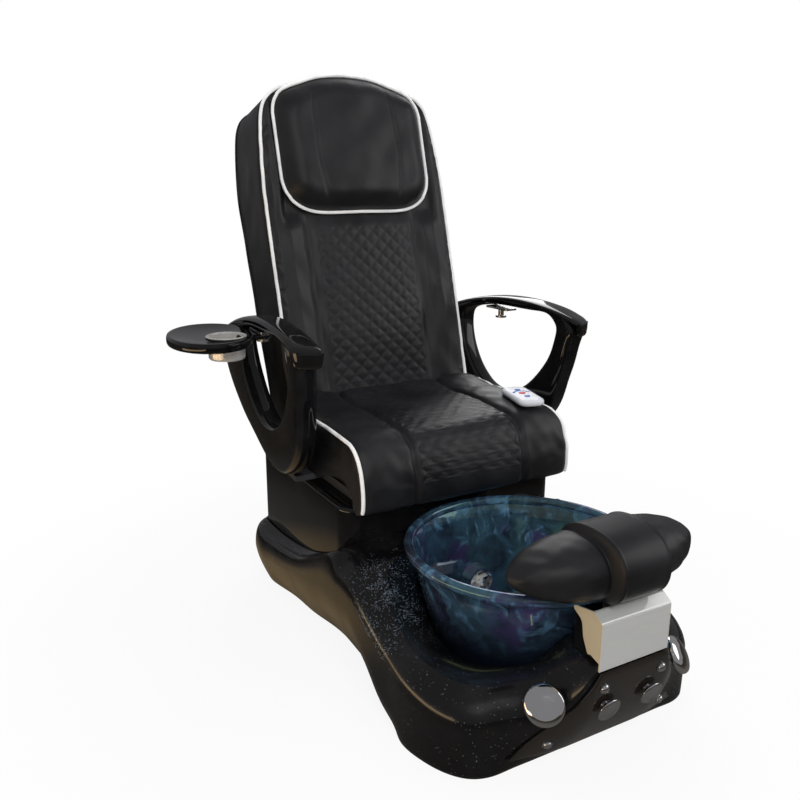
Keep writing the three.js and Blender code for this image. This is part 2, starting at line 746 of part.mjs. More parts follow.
/** Outward direction of the panel's face at (x, z). */
function panelOut(x, z) {
  const slopeX = (panelY(x + 4, z) - panelY(x - 4, z)) / 8;
  const slopeZ = (panelY(x, z + 4) - panelY(x, z - 4)) / 8;
  return point(slopeX, -1, slopeZ).normalize();
}

/** Puts a fitting that points along +Z onto the panel at (x, z), facing outwards. */
function ontoPanel(geometry, x, z, proud) {
  const out = panelOut(x, z);
  const turn = new THREE.Quaternion().setFromUnitVectors(point(0, 0, 1), out);
  const place = point(x, panelY(x, z), z).addScaledVector(out, proud);
  return geometry.applyQuaternion(turn).translate(place.x, place.y, place.z);
}

const domeHead = (radius, height) => turned([
  [0, 0],
  [radius, 0],
  [radius, height * 0.35],
  [radius * 0.8, height * 0.75],
  [radius * 0.45, height * 0.95],
  [0, height],
], 16);

const BOLT_PLACES = [[-72, 200], [72, 200], [-146, 66], [146, 66]];
const BOLT_RADIUS = 9;
const BOLT_GAP = 0.5;
const BUTTON_X = 54;
const BUTTON_Z = 150;
const BUTTON_TRAVEL = 5;
const BUTTON_REST = BUTTON_TRAVEL + 1; // underside of the head above the panel, at rest
const BUTTON_STEM = 8;

const buttonHole = (x) => ontoPanel(rod(BUTTON_STEM + SEAT_GAP, -20, 20), x, BUTTON_Z, 0);

add('front_panel', cut(frontPanel(), buttonHole(-BUTTON_X), buttonHole(BUTTON_X)), 'plastic');
BOLT_PLACES.forEach(([x, z], i) => {
  add(`panel_bolt_${i + 1}`, ontoPanel(domeHead(BOLT_RADIUS, 7), x, z, BOLT_GAP), 'chrome');
});

/** Button head on a stem that runs in the panel's hole. */
function pushButton() {
  return turned([
    [0, -BUTTON_REST - 1.6],
    [BUTTON_STEM, -BUTTON_REST - 1.6],
    [BUTTON_STEM, 0],
    [BUTTON_RADIUS, 0],
    [BUTTON_RADIUS, 5],
    [BUTTON_RADIUS - 4, 10],
    [BUTTON_RADIUS * 0.5, 13],
    [0, 14],
  ]);
}

add('jet_button', ontoPanel(pushButton(), -BUTTON_X, BUTTON_Z, BUTTON_REST), 'chrome');
add('drain_button', ontoPanel(pushButton(), BUTTON_X, BUTTON_Z, BUTTON_REST), 'chrome');

// round knobs on the front lobes: drain on the right, mixer on the left
const KNOB_STATION = STATIONS[3];
const KNOB_ROUND = 27; // degrees round the turn from the side to the crest
const KNOB_STEM = 13;

/** Point on the turn between the side and the crest of the shell. */
function turnPoint(station, degrees) {
  const shoulder = basePoint(station, station.turn);
  const crest = crestPoint(station);
  const round = 1 - Math.cos(degrees * RAD);
  return point(
    lerp(shoulder.x, crest.x, round),
    lerp(shoulder.y, crest.y, round),
    lerp(shoulder.z, crest.z, Math.sin(degrees * RAD)),
  );
}

const KNOB_OUT = point(0.5, -0.66, 0.55).normalize();

/** Puts a fitting that points along +Z onto one front lobe. */
function ontoLobe(geometry, side, proud) {
  const out = point(side * KNOB_OUT.x, KNOB_OUT.y, KNOB_OUT.z);
  const turn = new THREE.Quaternion().setFromUnitVectors(point(0, 0, 1), out);
  const here = turnPoint(KNOB_STATION, KNOB_ROUND);
  const place = point(side * here.x, here.y, here.z).addScaledVector(out, proud);
  return geometry.applyQuaternion(turn).translate(place.x, place.y, place.z);
}

const VALVE_SINK = 46;
const VALVE_PROUD = 18;

/** Valve body that passes through the shell, with a flange outside. */
const lobeValve = (side) => ontoLobe(turned([
  [0, -VALVE_SINK],
  [KNOB_STEM, -VALVE_SINK],
  [KNOB_STEM, VALVE_PROUD - 3],
  [KNOB_STEM + 5, VALVE_PROUD - 3],
  [KNOB_STEM + 5, VALVE_PROUD],
  [0, VALVE_PROUD],
]), side, 0);

const lobeHole = (side) => ontoLobe(rod(KNOB_STEM + SEAT_GAP, -80, 60), side, 0);

const lobeKnob = (side) => ontoLobe(turned([
  [0, VALVE_PROUD + SEAT_GAP],
  [KNOB_RADIUS * 0.7, VALVE_PROUD + SEAT_GAP],
  [KNOB_RADIUS, VALVE_PROUD + 6],
  [KNOB_RADIUS, VALVE_PROUD + 13],
  [KNOB_RADIUS * 0.9, VALVE_PROUD + 19],
  [KNOB_RADIUS * 0.6, VALVE_PROUD + 23],
  [0, VALVE_PROUD + 25],
], 24), side, 0);

add('base_shell', cut(baseShell(), lobeHole(-1), lobeHole(1)), 'gelcoat');
add('drain_valve', lobeValve(-1), 'chrome');
add('drain_knob', lobeKnob(-1), 'chrome');
add('mixer_valve', lobeValve(1), 'chrome');
add('mixer_knob', lobeKnob(1), 'chrome');

// ---------------------------------------------------------------- footrest

const BRACKET_WALL = 3;
const BRACKET_FRONT_Y = BASE_FRONT_Y - SEAT_GAP - BRACKET_WALL;
const BRACKET_REAR_Y = BASE_FRONT_Y + 84;
const BRACKET_LOW_Z = BOW_TOP_Z + 1;
const CREST_Z = 250;
const POST_HALF_X = 34;
const POST_FRONT_Y = BASE_FRONT_Y + 28;
const POST_REAR_Y = BASE_FRONT_Y + 56;

/** Mirror-chrome housing: front plate, two side plates with a hollow rear edge, and a lip on top. */
function footBracket() {
  const front = BRACKET_FRONT_Y;
  const profile = [
    [front, BRACKET_LOW_Z],
    ...rounded([
      [front, BRACKET_TOP_Z - 30, 0],
      [front, BRACKET_TOP_Z, 8],
      [front + 24, BRACKET_TOP_Z + 16, 8],
      [BRACKET_REAR_Y, BRACKET_TOP_Z + 4, 5],
      [BRACKET_REAR_Y - 34, BRACKET_TOP_Z - 14, 20],
      [BRACKET_REAR_Y - 40, CREST_Z + 34, 30],
      [BRACKET_REAR_Y - 56, CREST_Z + 2, 5],
    ]),
    [front + BRACKET_WALL, CREST_Z + 2],
    [front + BRACKET_WALL, BRACKET_LOW_Z],
  ];
  const block = sideSlab(profile, -BRACKET_HALF_WIDTH, BRACKET_HALF_WIDTH);
  const inside = BRACKET_HALF_WIDTH - BRACKET_WALL;
  const hollow = sideSlab([
    [front + BRACKET_WALL, BRACKET_LOW_Z - 20],
    [front + BRACKET_WALL, BRACKET_TOP_Z - 4],
    [front + 26, BRACKET_TOP_Z + 10],
    [front + 34, BRACKET_TOP_Z + 40],
    [BRACKET_REAR_Y + 20, BRACKET_TOP_Z + 40],
    [BRACKET_REAR_Y + 20, BRACKET_LOW_Z - 20],
  ], -inside, inside);
  return cut(block, hollow);
}

// column inside the bracket, on the crest of the shell, that guides the post
const COLUMN_HALF_X = 82;
const COLUMN_LOW_Z = CREST_Z + SEAT_GAP;
const COLUMN_TOP_Z = BRACKET_TOP_Z - 12;

function footColumn() {
  const block = slab(rectangle(
    -COLUMN_HALF_X,
    BASE_FRONT_Y + SEAT_GAP,
    COLUMN_HALF_X,
    BASE_FRONT_Y + 77,
    6,
  ), COLUMN_LOW_Z, COLUMN_TOP_Z);
  const guide = slab(rectangle(
    -POST_HALF_X - SEAT_GAP,
    POST_FRONT_Y - SEAT_GAP,
    POST_HALF_X + SEAT_GAP,
    POST_REAR_Y + SEAT_GAP,
  ), COLUMN_LOW_Z + 6, COLUMN_TOP_Z + 10);
  return cut(block, guide);
}

const POST_TOP_Z = BRACKET_TOP_Z + 22;
const HINGE_Z = POST_TOP_Z + 10;
const HINGE_Y = (POST_FRONT_Y + POST_REAR_Y) / 2;
const HINGE_RADIUS = 7;

/** Lifting post with the hinge barrel on its top. */
function footPost() {
  const post = slab(rectangle(
    -POST_HALF_X,
    POST_FRONT_Y,
    POST_HALF_X,
    POST_REAR_Y,
    4,
  ), COLUMN_LOW_Z + 6 + SEAT_GAP, POST_TOP_Z);
  const barrel = bar(point(-30, HINGE_Y, HINGE_Z), point(30, HINGE_Y, HINGE_Z), HINGE_RADIUS, 16);
  const web = sideSlab([
    [HINGE_Y - 6, POST_TOP_Z - 4],
    [HINGE_Y + 6, POST_TOP_Z - 4],
    [HINGE_Y + 6, HINGE_Z],
    [HINGE_Y - 6, HINGE_Z],
  ], -30, 30);
  return join(post, web, barrel);
}

const PLATE_Z = HINGE_Z + HINGE_RADIUS + 3;

const hingePlateOutline = (out) => rectangle(
  -108 - out,
  HINGE_Y - 14 - out,
  108 + out,
  HINGE_Y + 70 + out,
  12,
);

/** Plate under the cushion, with an ear at each end of the barrel. */
function hingePlate() {
  const plate = slab(hingePlateOutline(0), PLATE_Z, PLATE_Z + 5);
  const ears = [-1, 1].map((side) => {
    const near = side * (30 + SEAT_GAP);
    const far = side * 38;
    return sideSlab([
      [HINGE_Y - 7, HINGE_Z - 6.5],
      [HINGE_Y + 7, HINGE_Z - 6.5],
      [HINGE_Y + 12, PLATE_Z + 2],
      [HINGE_Y - 12, PLATE_Z + 2],
    ], Math.min(near, far), Math.max(near, far));
  });
  return join(plate, ...ears);
}

// Footrest cushion: a roll across with a broader band over its middle.
const FOOT_Y = -600;
const FOOT_Z = 408;
const FOOT_HALF_DEPTH = 84;
const FOOT_HALF_HEIGHT = 62;
const BAND_HALF = 54;

/** Cross-section of the footrest at x: half depth, half height and middle. */
function footSection(x) {
  const a = Math.abs(x) / FOOT_HALF_WIDTH;
  const round = Math.max(0, 1 - a ** 2.6) ** 0.62;
  const band = 1 - THREE.MathUtils.smoothstep(Math.abs(x), BAND_HALF - 3, BAND_HALF + 6);
  return {
    depth: FOOT_HALF_DEPTH * round + 16 * band,
    height: FOOT_HALF_HEIGHT * round + 4 * band,
    y: FOOT_Y + 16 * a * a - 20 * band,
    z: FOOT_Z + 12 * band,
  };
}

function footCushion() {
  const xs = [-1, -0.985, -0.94, -0.85, -0.7, -0.5].map((s) => s * FOOT_HALF_WIDTH);
  xs.push(-BAND_HALF - 8, -BAND_HALF + 2, -28, 0);
  const all = [...xs, ...xs.slice(0, -1).reverse().map((x) => -x)];
  const rings = all.map((x) => {
    const { depth, height, y, z } = footSection(x * 0.998);
    return Array.from({ length: 20 }, (_, k) => {
      const angle = (2 * Math.PI * k) / 20;
      const c = Math.cos(angle);
      const s = Math.sin(angle);
      const py = Math.sign(c) * Math.abs(c) ** 0.8 * depth;
      const pz = Math.sign(s) * Math.abs(s) ** 0.8 * height;
      return point(x, y + py, z + pz);
    });
  });
  const seat = slab(
    hingePlateOutline(RUN_GAP),
    FOOT_Z - 2 * FOOT_HALF_HEIGHT,
    PLATE_Z + 5 + SEAT_GAP,
  );
  const housing = slab(
    rectangle(-BRACKET_HALF_WIDTH - 4, BRACKET_FRONT_Y - 6, BRACKET_HALF_WIDTH + 4, FOOT_Y + 120),
    FOOT_Z - 2 * FOOT_HALF_HEIGHT,
    BRACKET_TOP_Z + 26,
  );
  return cut(loft(rings), seat, housing);
}

add('foot_bracket', footBracket(), 'chrome');
add('foot_column', footColumn(), 'gelcoat');
add('foot_post', footPost(), 'steel');
add('foot_hinge_plate', hingePlate(), 'steel');
add('foot_cushion', footCushion(), 'leather');

// ---------------------------------------------------------------- seat plinth, rails, actuator

/** Rounded rectangle ring of the plinth at height z. */
function plinthRing(z, insetX, insetY) {
  const corner = Math.max(8, PLINTH_CORNER - insetX);
  return rectangle(
    -PLINTH_HALF_WIDTH + insetX,
    PLINTH_FRONT_Y + insetY,
    PLINTH_HALF_WIDTH - insetX,
    PLINTH_REAR_Y - insetY,
    corner,
  ).map(([x, y]) => point(x, y, z));
}

function plinth() {
  const low = BOARD_THICKNESS + SEAT_GAP;
  const high = PLINTH_TOP_Z;
  const levels = [
    [low, PLINTH_TUCK, PLINTH_TUCK / 2],
    [PLINTH_TUCK_Z, 0, 0],
    [high - 10, 0, 0],
    [high - 3, 3, 3],
    [high, 10, 10],
    [high, PLINTH_FLANGE, PLINTH_END_FLANGE],
    [high - PLINTH_WALL, PLINTH_FLANGE, PLINTH_END_FLANGE],
    [high - PLINTH_WALL, PLINTH_WALL, PLINTH_WALL],
    [PLINTH_TUCK_Z, PLINTH_WALL, PLINTH_WALL],
    [low, PLINTH_TUCK + PLINTH_WALL, PLINTH_TUCK / 2 + PLINTH_WALL],
  ];
  const rings = levels.map(([z, insetX, insetY]) => plinthRing(z, insetX, insetY));
  const sections = rings[0].map((_, i) => rings.map((ring) => ring[i]));
  const arch = frontSlab(
    rectangle(-24, -20, 24, DRAIN_PIPE_Z + DRAIN_PIPE_RADIUS + 6),
    PLINTH_FRONT_Y - 20,
    PLINTH_FRONT_Y + 60,
  );
  return cut(hoop(sections), arch);
}

const RAIL_LOW = PLINTH_TOP_Z + SEAT_GAP;
const RAIL_TOP = RAIL_LOW + RAIL_HEIGHT;
const RAIL_FRONT_Y = FRAME_FRONT_Y;
const RAIL_LIP = 5;

/** T-section slide rail. */
function slideRail(x) {
  const stem = RAIL_WIDTH / 2 - RAIL_LIP;
  const shape = [
    [x - stem, RAIL_LOW],
    [x + stem, RAIL_LOW],
    [x + stem, RAIL_TOP - 4],
    [x + stem + RAIL_LIP, RAIL_TOP - 4],
    [x + stem + RAIL_LIP, RAIL_TOP],
    [x - stem - RAIL_LIP, RAIL_TOP],
    [x - stem - RAIL_LIP, RAIL_TOP - 4],
    [x - stem, RAIL_TOP - 4],
  ];
  return frontSlab(shape, RAIL_FRONT_Y, RAIL_FRONT_Y + RAIL_LENGTH);
}

const FRAME_LOW = RAIL_TOP + SEAT_GAP;
const FRAME_TOP = FRAME_LOW + FRAME_THICKNESS;
const PIN_RADIUS = 8;
const EAR_X = 236; // middle of the back pivot ears
const EAR_WIDTH = 10;

const armTilt = Math.tan(ARM_SPLAY * RAD);
const armInnerX = (y) => ARM_X - armTilt * y - ARM_THICKNESS / 2 / Math.cos(ARM_SPLAY * RAD);
const WING_FRONT_Y = 110;
const WING_REAR_Y = 250;
const WING_RISE = 56;

/** Slab of an (x, y) outline on one side of the chair. */
const handed = (side, points) => {
  const placed = points.map(([x, y]) => [side * x, y]);
  return side < 0 ? placed.reverse() : placed;
};

/** Outrigger on one side: a flat wing and an upstand against the inner face of the arm. */
function frameWing(side) {
  const tip0 = armInnerX(WING_FRONT_Y) - SEAT_GAP;
  const tip1 = armInnerX(WING_REAR_Y) - SEAT_GAP;
  const root = FRAME_HALF_WIDTH - 20;
  const flat = handed(side, [
    [root, WING_FRONT_Y],
    [tip0, WING_FRONT_Y],
    [tip1, WING_REAR_Y],
    [root, WING_REAR_Y],
  ]);
  const upstand = handed(side, [
    [tip0 - 6, WING_FRONT_Y + 20],
    [tip0 - armTilt * 20, WING_FRONT_Y + 20],
    [tip1 + armTilt * 20, WING_REAR_Y - 20],
    [tip1 - 6, WING_REAR_Y - 20],
  ]);
  return [
    slab(flat, FRAME_LOW, FRAME_TOP),
    slab(upstand, FRAME_LOW + 2, FRAME_TOP + WING_RISE),
  ];
}

/** Ear that carries the back's pivot on one side. */
function pivotEar(side) {
  const ear = rounded([
    [FRAME_REAR_Y - 40, FRAME_LOW + 2, 0],
    [FRAME_REAR_Y + 4, FRAME_LOW + 2, 0],
    [RECLINE_Y + 6, RECLINE_Z - 26, 10],
    [RECLINE_Y + 22, RECLINE_Z - 14, 10],
    [RECLINE_Y + 20, RECLINE_Z + 20, 18],
    [RECLINE_Y - 20, RECLINE_Z + 20, 18],
    [RECLINE_Y - 26, RECLINE_Z - 6, 10],
    [FRAME_REAR_Y - 40, FRAME_TOP + 2, 0],
  ]);
  const hole = disc(RECLINE_Y, RECLINE_Z, PIN_RADIUS + SEAT_GAP, 20);
  const inner = EAR_X - EAR_WIDTH / 2;
  const outer = EAR_X + EAR_WIDTH / 2;
  return side > 0 ? sideSlab(ear, inner, outer, [hole]) : sideSlab(ear, -outer, -inner, [hole]);
}

// lugs under the seat board
const LUG_LOW_Z = 326;
const SLIDE_ROD_X = 150;
const SLIDE_ROD_Z = 340;
const SLIDE_LUG_Y = 126;
const RECLINE_LUG_Y = 132;
const RECLINE_LUG_Z = 352;
const TUBE_RADIUS = 17;
const ROD_RADIUS = 8;

function seatLugs() {
  const slide = slab(
    rectangle(SLIDE_ROD_X - 14, SLIDE_LUG_Y - 7, SLIDE_ROD_X + 14, SLIDE_LUG_Y + 7),
    LUG_LOW_Z,
    FRAME_LOW + 2,
  );
  const lugs = [-1, 1].map((side) => {
    const near = side * (TUBE_RADIUS + RUN_GAP);
    const far = side * (TUBE_RADIUS + RUN_GAP + 6);
    return sideSlab([
      [RECLINE_LUG_Y - 12, RECLINE_LUG_Z - 12],
      [RECLINE_LUG_Y + 12, RECLINE_LUG_Z - 12],
      [RECLINE_LUG_Y + 18, FRAME_LOW + 2],
      [RECLINE_LUG_Y - 18, FRAME_LOW + 2],
    ], Math.min(near, far), Math.max(near, far));
  });
  const pin = bar(
    point(-TUBE_RADIUS - 6, RECLINE_LUG_Y, RECLINE_LUG_Z),
    point(TUBE_RADIUS + 6, RECLINE_LUG_Y, RECLINE_LUG_Z),
    5,
  );
  return [slide, ...lugs, pin];
}

/** Seat board with its rail shoes, arm outriggers, back pivot ears and actuator lugs. */
function seatFrame() {
  const board = slab(
    rectangle(-FRAME_HALF_WIDTH, FRAME_FRONT_Y, FRAME_HALF_WIDTH, FRAME_REAR_Y, 20),
    FRAME_LOW,
    FRAME_TOP,
  );
  const parts = [board, ...seatLugs()];
  for (const side of [-1, 1]) {
    for (const edge of [-1, 1]) {
      const near = side * RAIL_X + edge * (RAIL_WIDTH / 2 + RUN_GAP);
      const far = near + edge * 5;
      parts.push(slab(rectangle(
        Math.min(near, far),
        FRAME_FRONT_Y + 30,
        Math.max(near, far),
        FRAME_REAR_Y - 46,
      ), RAIL_LOW + RUN_GAP, FRAME_LOW + 2));
    }
    parts.push(...frameWing(side), pivotEar(side));
  }
  return join(...parts);
}

const SLIDE_TUBE_FRONT = 190;
const SLIDE_TUBE_REAR = 404;

/** Motor tube of the slide actuator on its stand. */
function slideTube() {
  const foot = slab(
    rectangle(SLIDE_ROD_X - 40, 250, SLIDE_ROD_X + 40, 350),
    BOARD_THICKNESS + SEAT_GAP,
    BOARD_THICKNESS + 8,
  );
  const stand = slab(
    rectangle(SLIDE_ROD_X - 12, 270, SLIDE_ROD_X + 12, 330),
    BOARD_THICKNESS + 4,
    SLIDE_ROD_Z,
  );
  const at = (y) => point(SLIDE_ROD_X, y, SLIDE_ROD_Z);
  const tubeBody = bar(at(SLIDE_TUBE_FRONT), at(SLIDE_TUBE_REAR), TUBE_RADIUS, 20);
  const bore = bar(at(SLIDE_TUBE_FRONT - 5), at(SLIDE_TUBE_REAR - 6), ROD_RADIUS + SEAT_GAP, 20);
  return cut(join(foot, stand, tubeBody), bore);
}

function slideRod() {
  return bar(
    point(SLIDE_ROD_X, SLIDE_LUG_Y + 7 + SEAT_GAP, SLIDE_ROD_Z),
    point(SLIDE_ROD_X, SLIDE_TUBE_REAR - 8, SLIDE_ROD_Z),
    ROD_RADIUS,
    20,
  );
}

const controlBox = slab(
  rectangle(-210, 190, -70, 350, 10),
  BOARD_THICKNESS + SEAT_GAP,
  BOARD_THICKNESS + 62,
);

add('seat_plinth', plinth(), 'gelcoat');
SIDES.forEach(([label, side]) => {
  add(`slide_rail_${label}`, slideRail(side * RAIL_X), 'steel');
});
add('slide_actuator_tube', slideTube(), 'steel');
add('slide_actuator_rod', slideRod(), 'brushed');
add('control_box', controlBox, 'plastic');
add('seat_frame', seatFrame(), 'steel');

// ---------------------------------------------------------------- seat cushion

const SEAT_BASE_Z = FRAME_TOP + SEAT_GAP;
const SEAM_X = 150;
const SEAT_TILT = Math.tan(BACK_TILT * RAD);

/** Seat profile at one x, as (y, z) pairs: top sinks at the seams, ends are drawn in. */
function seatProfile(drop, draw) {
  const rear = SEAT_REAR_Y - draw * 0.5;
  const low = SEAT_BASE_Z;
  const top = SEAT_TOP_Z - drop;
  return [
    [rear, top - 4],
    [200, top],
    [110, top],
    [20, top],
    [-50, top - 4],
    [-98 + draw * 0.2, top - 12],
    [-132 + draw * 0.6, 500 - drop * 0.6],
    [-150 + draw, 452],
    [-154 + draw, 412],
    [-142 + draw * 0.8, SEAT_SKIRT_Z],
    [-108, SEAT_SKIRT_Z],
    [-96, low],
    [80, low],
    [rear - SEAT_TILT * 90, low],
    [rear - SEAT_TILT * 60, low + 40],
    [rear - SEAT_TILT * 54, low + 72],
    [rear - SEAT_TILT * 31, Math.min(low + 96, top - 14)],
  ];
}

const SEAT_STATIONS = [
  // x, drop of the top, draw of the front
  [0, 3, 2],
  [75, 1, 1],
  [132, 4, 2],
  [SEAM_X, 13, 8],
  [168, 2, 3],
  [205, -3, 0],
  [245, 0, 1],
  [272, 6, 4],
  [SEAT_HALF_WIDTH, 14, 9],
  [SEAT_HALF_WIDTH + 5, 34, 16],
  [SEAT_HALF_WIDTH + 6, 56, 22],
];

function seatCushion() {
  const ring = ([x, drop, draw], side) => seatProfile(drop, draw).map(([y, z]) => point(side * x, y, z));
  const left = SEAT_STATIONS.slice(1).reverse().map((station) => ring(station, -1));
  const right = SEAT_STATIONS.map((station) => ring(station, 1));
  return loft([...left, ...right], flatCap);
}

add('seat_cushion', seatCushion(), 'leather');

// ---------------------------------------------------------------- back

/** Carries geometry built as (x, forward-back, up the back) onto the tilted back. */
const ontoBack = (geometry) => geometry.rotateX(-BACK_TILT * RAD).translate(0, RECLINE_Y, RECLINE_Z);

/** Box given by its corners, as (x, v, up the back). */
function block(x0, v0, up0, x1, v1, up1) {
  return new THREE.BoxGeometry(x1 - x0, v1 - v0, up1 - up0)
    .translate((x0 + x1) / 2, (v0 + v1) / 2, (up0 + up1) / 2);
}

// half outline of the back, as (x, height) pairs from the foot to the middle of the top
const BACK_EDGE = [
  [268, 0],
  [270, 110],
  [271, 250],
  [271, 400],
  [271, 500],
  [271, 560],
  [270, 640],
  [263, 735],
  [256, 790],
  [247, 830],
  [232, 858],
  [205, 879],
  [160, 897],
  [100, 913],
  [40, 922],
];

// start of the rounded rear corner of the shell, by distance up the back
const REAR_START = [[0, 34], [110, 40], [350, 58], [500, 70], [650, 84], [900, 84]];
const REAR_ROUND = 45;
const REAR_FOOT_RISE = 38; // lifts the rear lower edge clear of the plinth when the back reclines

/** Closed outline of the back drawn in by an inset; its foot sits at the given height. */
function backOutline(inset, foot) {
  const centre = new THREE.Vector2(0, 470);
  const edge = BACK_EDGE.map(([x, up]) => new THREE.Vector2((x * BACK_HALF_WIDTH) / 271, up));
  edge[0].y = foot;
  const half = edge.map((p, i) => {
    const before = edge[Math.max(0, i - 1)];
    const after = edge[Math.min(edge.length - 1, i + 1)];
    const tangent = after.clone().sub(before).normalize();
    const normal = new THREE.Vector2(tangent.y, -tangent.x);
    if (normal.dot(p.clone().sub(centre)) < 0) normal.negate();
    if (i === 0) return new THREE.Vector2(p.x - inset, p.y);
    return p.clone().addScaledVector(normal, -inset);
  });
  const right = half.map((p) => [p.x, p.y]);
  const left = [...right].reverse().map(([x, up]) => [-x, up]);
  return [...right, ...left];
}

/** Ring of the back's outline at depth v. */
const backRing = (inset, foot, v) => backOutline(inset, foot).map(([x, up]) => {
  return point(x, typeof v === 'function' ? v(up) : v, up);
});

const SHELL_FRONT = CUSHION_FACE + 12;

/** Depth of the shell's rear corner at some degrees round it, by distance up the back. */
const rearDepth = (degrees, radius) => (up) => along(REAR_START, up) + radius * Math.sin(degrees * RAD);

/** Rings of the shell from its front edge round to the rear face. */
function shellRings(inset, foot, front) {
  const radius = REAR_ROUND - inset;
  const corner = [0, 24, 48, 70, 90].map((degrees) => {
    const round = radius * (1 - Math.cos(degrees * RAD));
    const rise = REAR_FOOT_RISE * Math.sin(degrees * RAD);
    return backRing(inset + round, foot + rise, rearDepth(degrees, radius));
  });
  return [backRing(inset, foot, front), ...corner];
}

/** Rear shell: a tray round the sides, top and rear, open at the foot and the front. */
function backShell() {
  const outer = shellRings(0, BACK_BOTTOM, SHELL_FRONT);
  const inner = shellRings(SHELL_THICKNESS, BACK_BOTTOM - 60, SHELL_FRONT - 20);
  return ontoBack(cut(loft(outer, stripCap), loft(inner, stripCap)));
}

const PILLOW_LOW = 546;
const PILLOW_BACK = CUSHION_FACE - 3;
const WHEEL_POCKET = { half: 108, low: 130, high: 780, depth: CUSHION_FACE + 28 };

/** How far the face stands proud of the piping line, less so under the head pillow. */
function facePoint(proud) {
  return (up) => {
    const covered = THREE.MathUtils.smoothstep(up, PILLOW_LOW - 40, PILLOW_LOW + 20);
    const risen = THREE.MathUtils.smoothstep(up, 60, 230);
    return CUSHION_FACE - proud * (1 - 0.92 * covered) * lerp(0.3, 1, risen);
  };
}

/** Front cushion: a body inside the shell, a lip over its edge, bolsters and a centre panel. */
function backCushion() {
  const clear = SHELL_THICKNESS + RUN_GAP;
  const foot = BACK_BOTTOM;
  const rings = [
    [clear, foot, CUSHION_BACK],
    [clear, foot, SHELL_FRONT - RUN_GAP],
    [1, foot, SHELL_FRONT - RUN_GAP],
    [0, foot, CUSHION_FACE + 3],
    [3, foot, facePoint(2)],
    [20, foot + 6, facePoint(13)],
    [52, foot + 14, facePoint(20)],
    [88, foot + 20, facePoint(14)],
    [108, foot + 24, facePoint(4)],
    [126, foot + 28, facePoint(11)],
    [160, foot + 34, facePoint(15)],
  ].map(([inset, up, v]) => backRing(inset, up, v));
  const pocket = loft([WHEEL_POCKET.depth, CUSHION_BACK + 20].map((v) => {
    return rectangle(-WHEEL_POCKET.half, WHEEL_POCKET.low, WHEEL_POCKET.half, WHEEL_POCKET.high)
      .map(([x, up]) => point(x, v, up));
  }));
  const pillowSeat = block(-222, CUSHION_FACE - 90, PILLOW_LOW + 8, 222, PILLOW_BACK + SEAT_GAP, BACK_TOP + 20);
  return ontoBack(cut(loft(rings, stripCap), pocket, pillowSeat));
}

// head pillow: [x, lower edge, upper edge, thickness]
const PILLOW_STATIONS = [
  [0, 557, 919, 46],
  [60, 556, 915, 47],
  [98, 556, 907, 44],
  [113, 556, 902, 34],
  [128, 558, 897, 42],
  [165, 568, 884, 40],
  [196, 590, 866, 30],
  [212, 616, 842, 18],
  [218, 644, 816, 8],
];

function headPillow() {
  const ring = ([x, low, high, thick], side) => {
    const middle = (low + high) / 2;
    const reach = (high - low) / 2;
    return [
      [-0.97, 0],
      [-1, 0.25],
      [-0.97, 0.6],
      [-0.84, 0.88],
      [-0.55, 1],
      [-0.15, 0.94],
      [0.25, 0.86],
      [0.6, 0.82],
      [0.86, 0.66],
      [0.97, 0.42],
      [1, 0.2],
      [0.97, 0],
    ].map(([s, t]) => point(side * x, PILLOW_BACK - thick * t, middle + reach * s));
  };
  const left = PILLOW_STATIONS.slice(1).reverse().map((station) => ring(station, -1));
  const right = PILLOW_STATIONS.map((station) => ring(station, 1));
  return ontoBack(loft([...left, ...right]));
}

// steel frame inside the back
const UPRIGHT_INNER = 217;
const UPRIGHT_OUTER = EAR_X - EAR_WIDTH / 2 - RUN_GAP;
const UPRIGHT_TOP = 812;
const BAR_HALF = 12;
const LEVER_LENGTH = 96;

const CROSS_BARS = [60, 450, 800];

/** Twin lever plates with the pin that the recline actuator pulls. */
function reclineLever() {
  const tipY = RECLINE_Y;
  const tipZ = RECLINE_Z - LEVER_LENGTH;
  const plates = [-1, 1].map((side) => {
    const near = side * (ROD_RADIUS + RUN_GAP);
    const far = side * (ROD_RADIUS + RUN_GAP + 6);
    return sideSlab(rounded([
      [tipY - 11, tipZ - 11, 9],
      [tipY + 11, tipZ - 11, 9],
      [RECLINE_Y + 26, RECLINE_Z + 20, 0],
      [RECLINE_Y + 30, RECLINE_Z + 62, 0],
      [RECLINE_Y + 8, RECLINE_Z + 66, 0],
      [RECLINE_Y - 6, RECLINE_Z, 0],
    ]), Math.min(near, far), Math.max(near, far));
  });
  const pin = bar(
    point(-ROD_RADIUS - 5, tipY, tipZ),
    point(ROD_RADIUS + 5, tipY, tipZ),
    5,
  );
  return [...plates, pin];
}

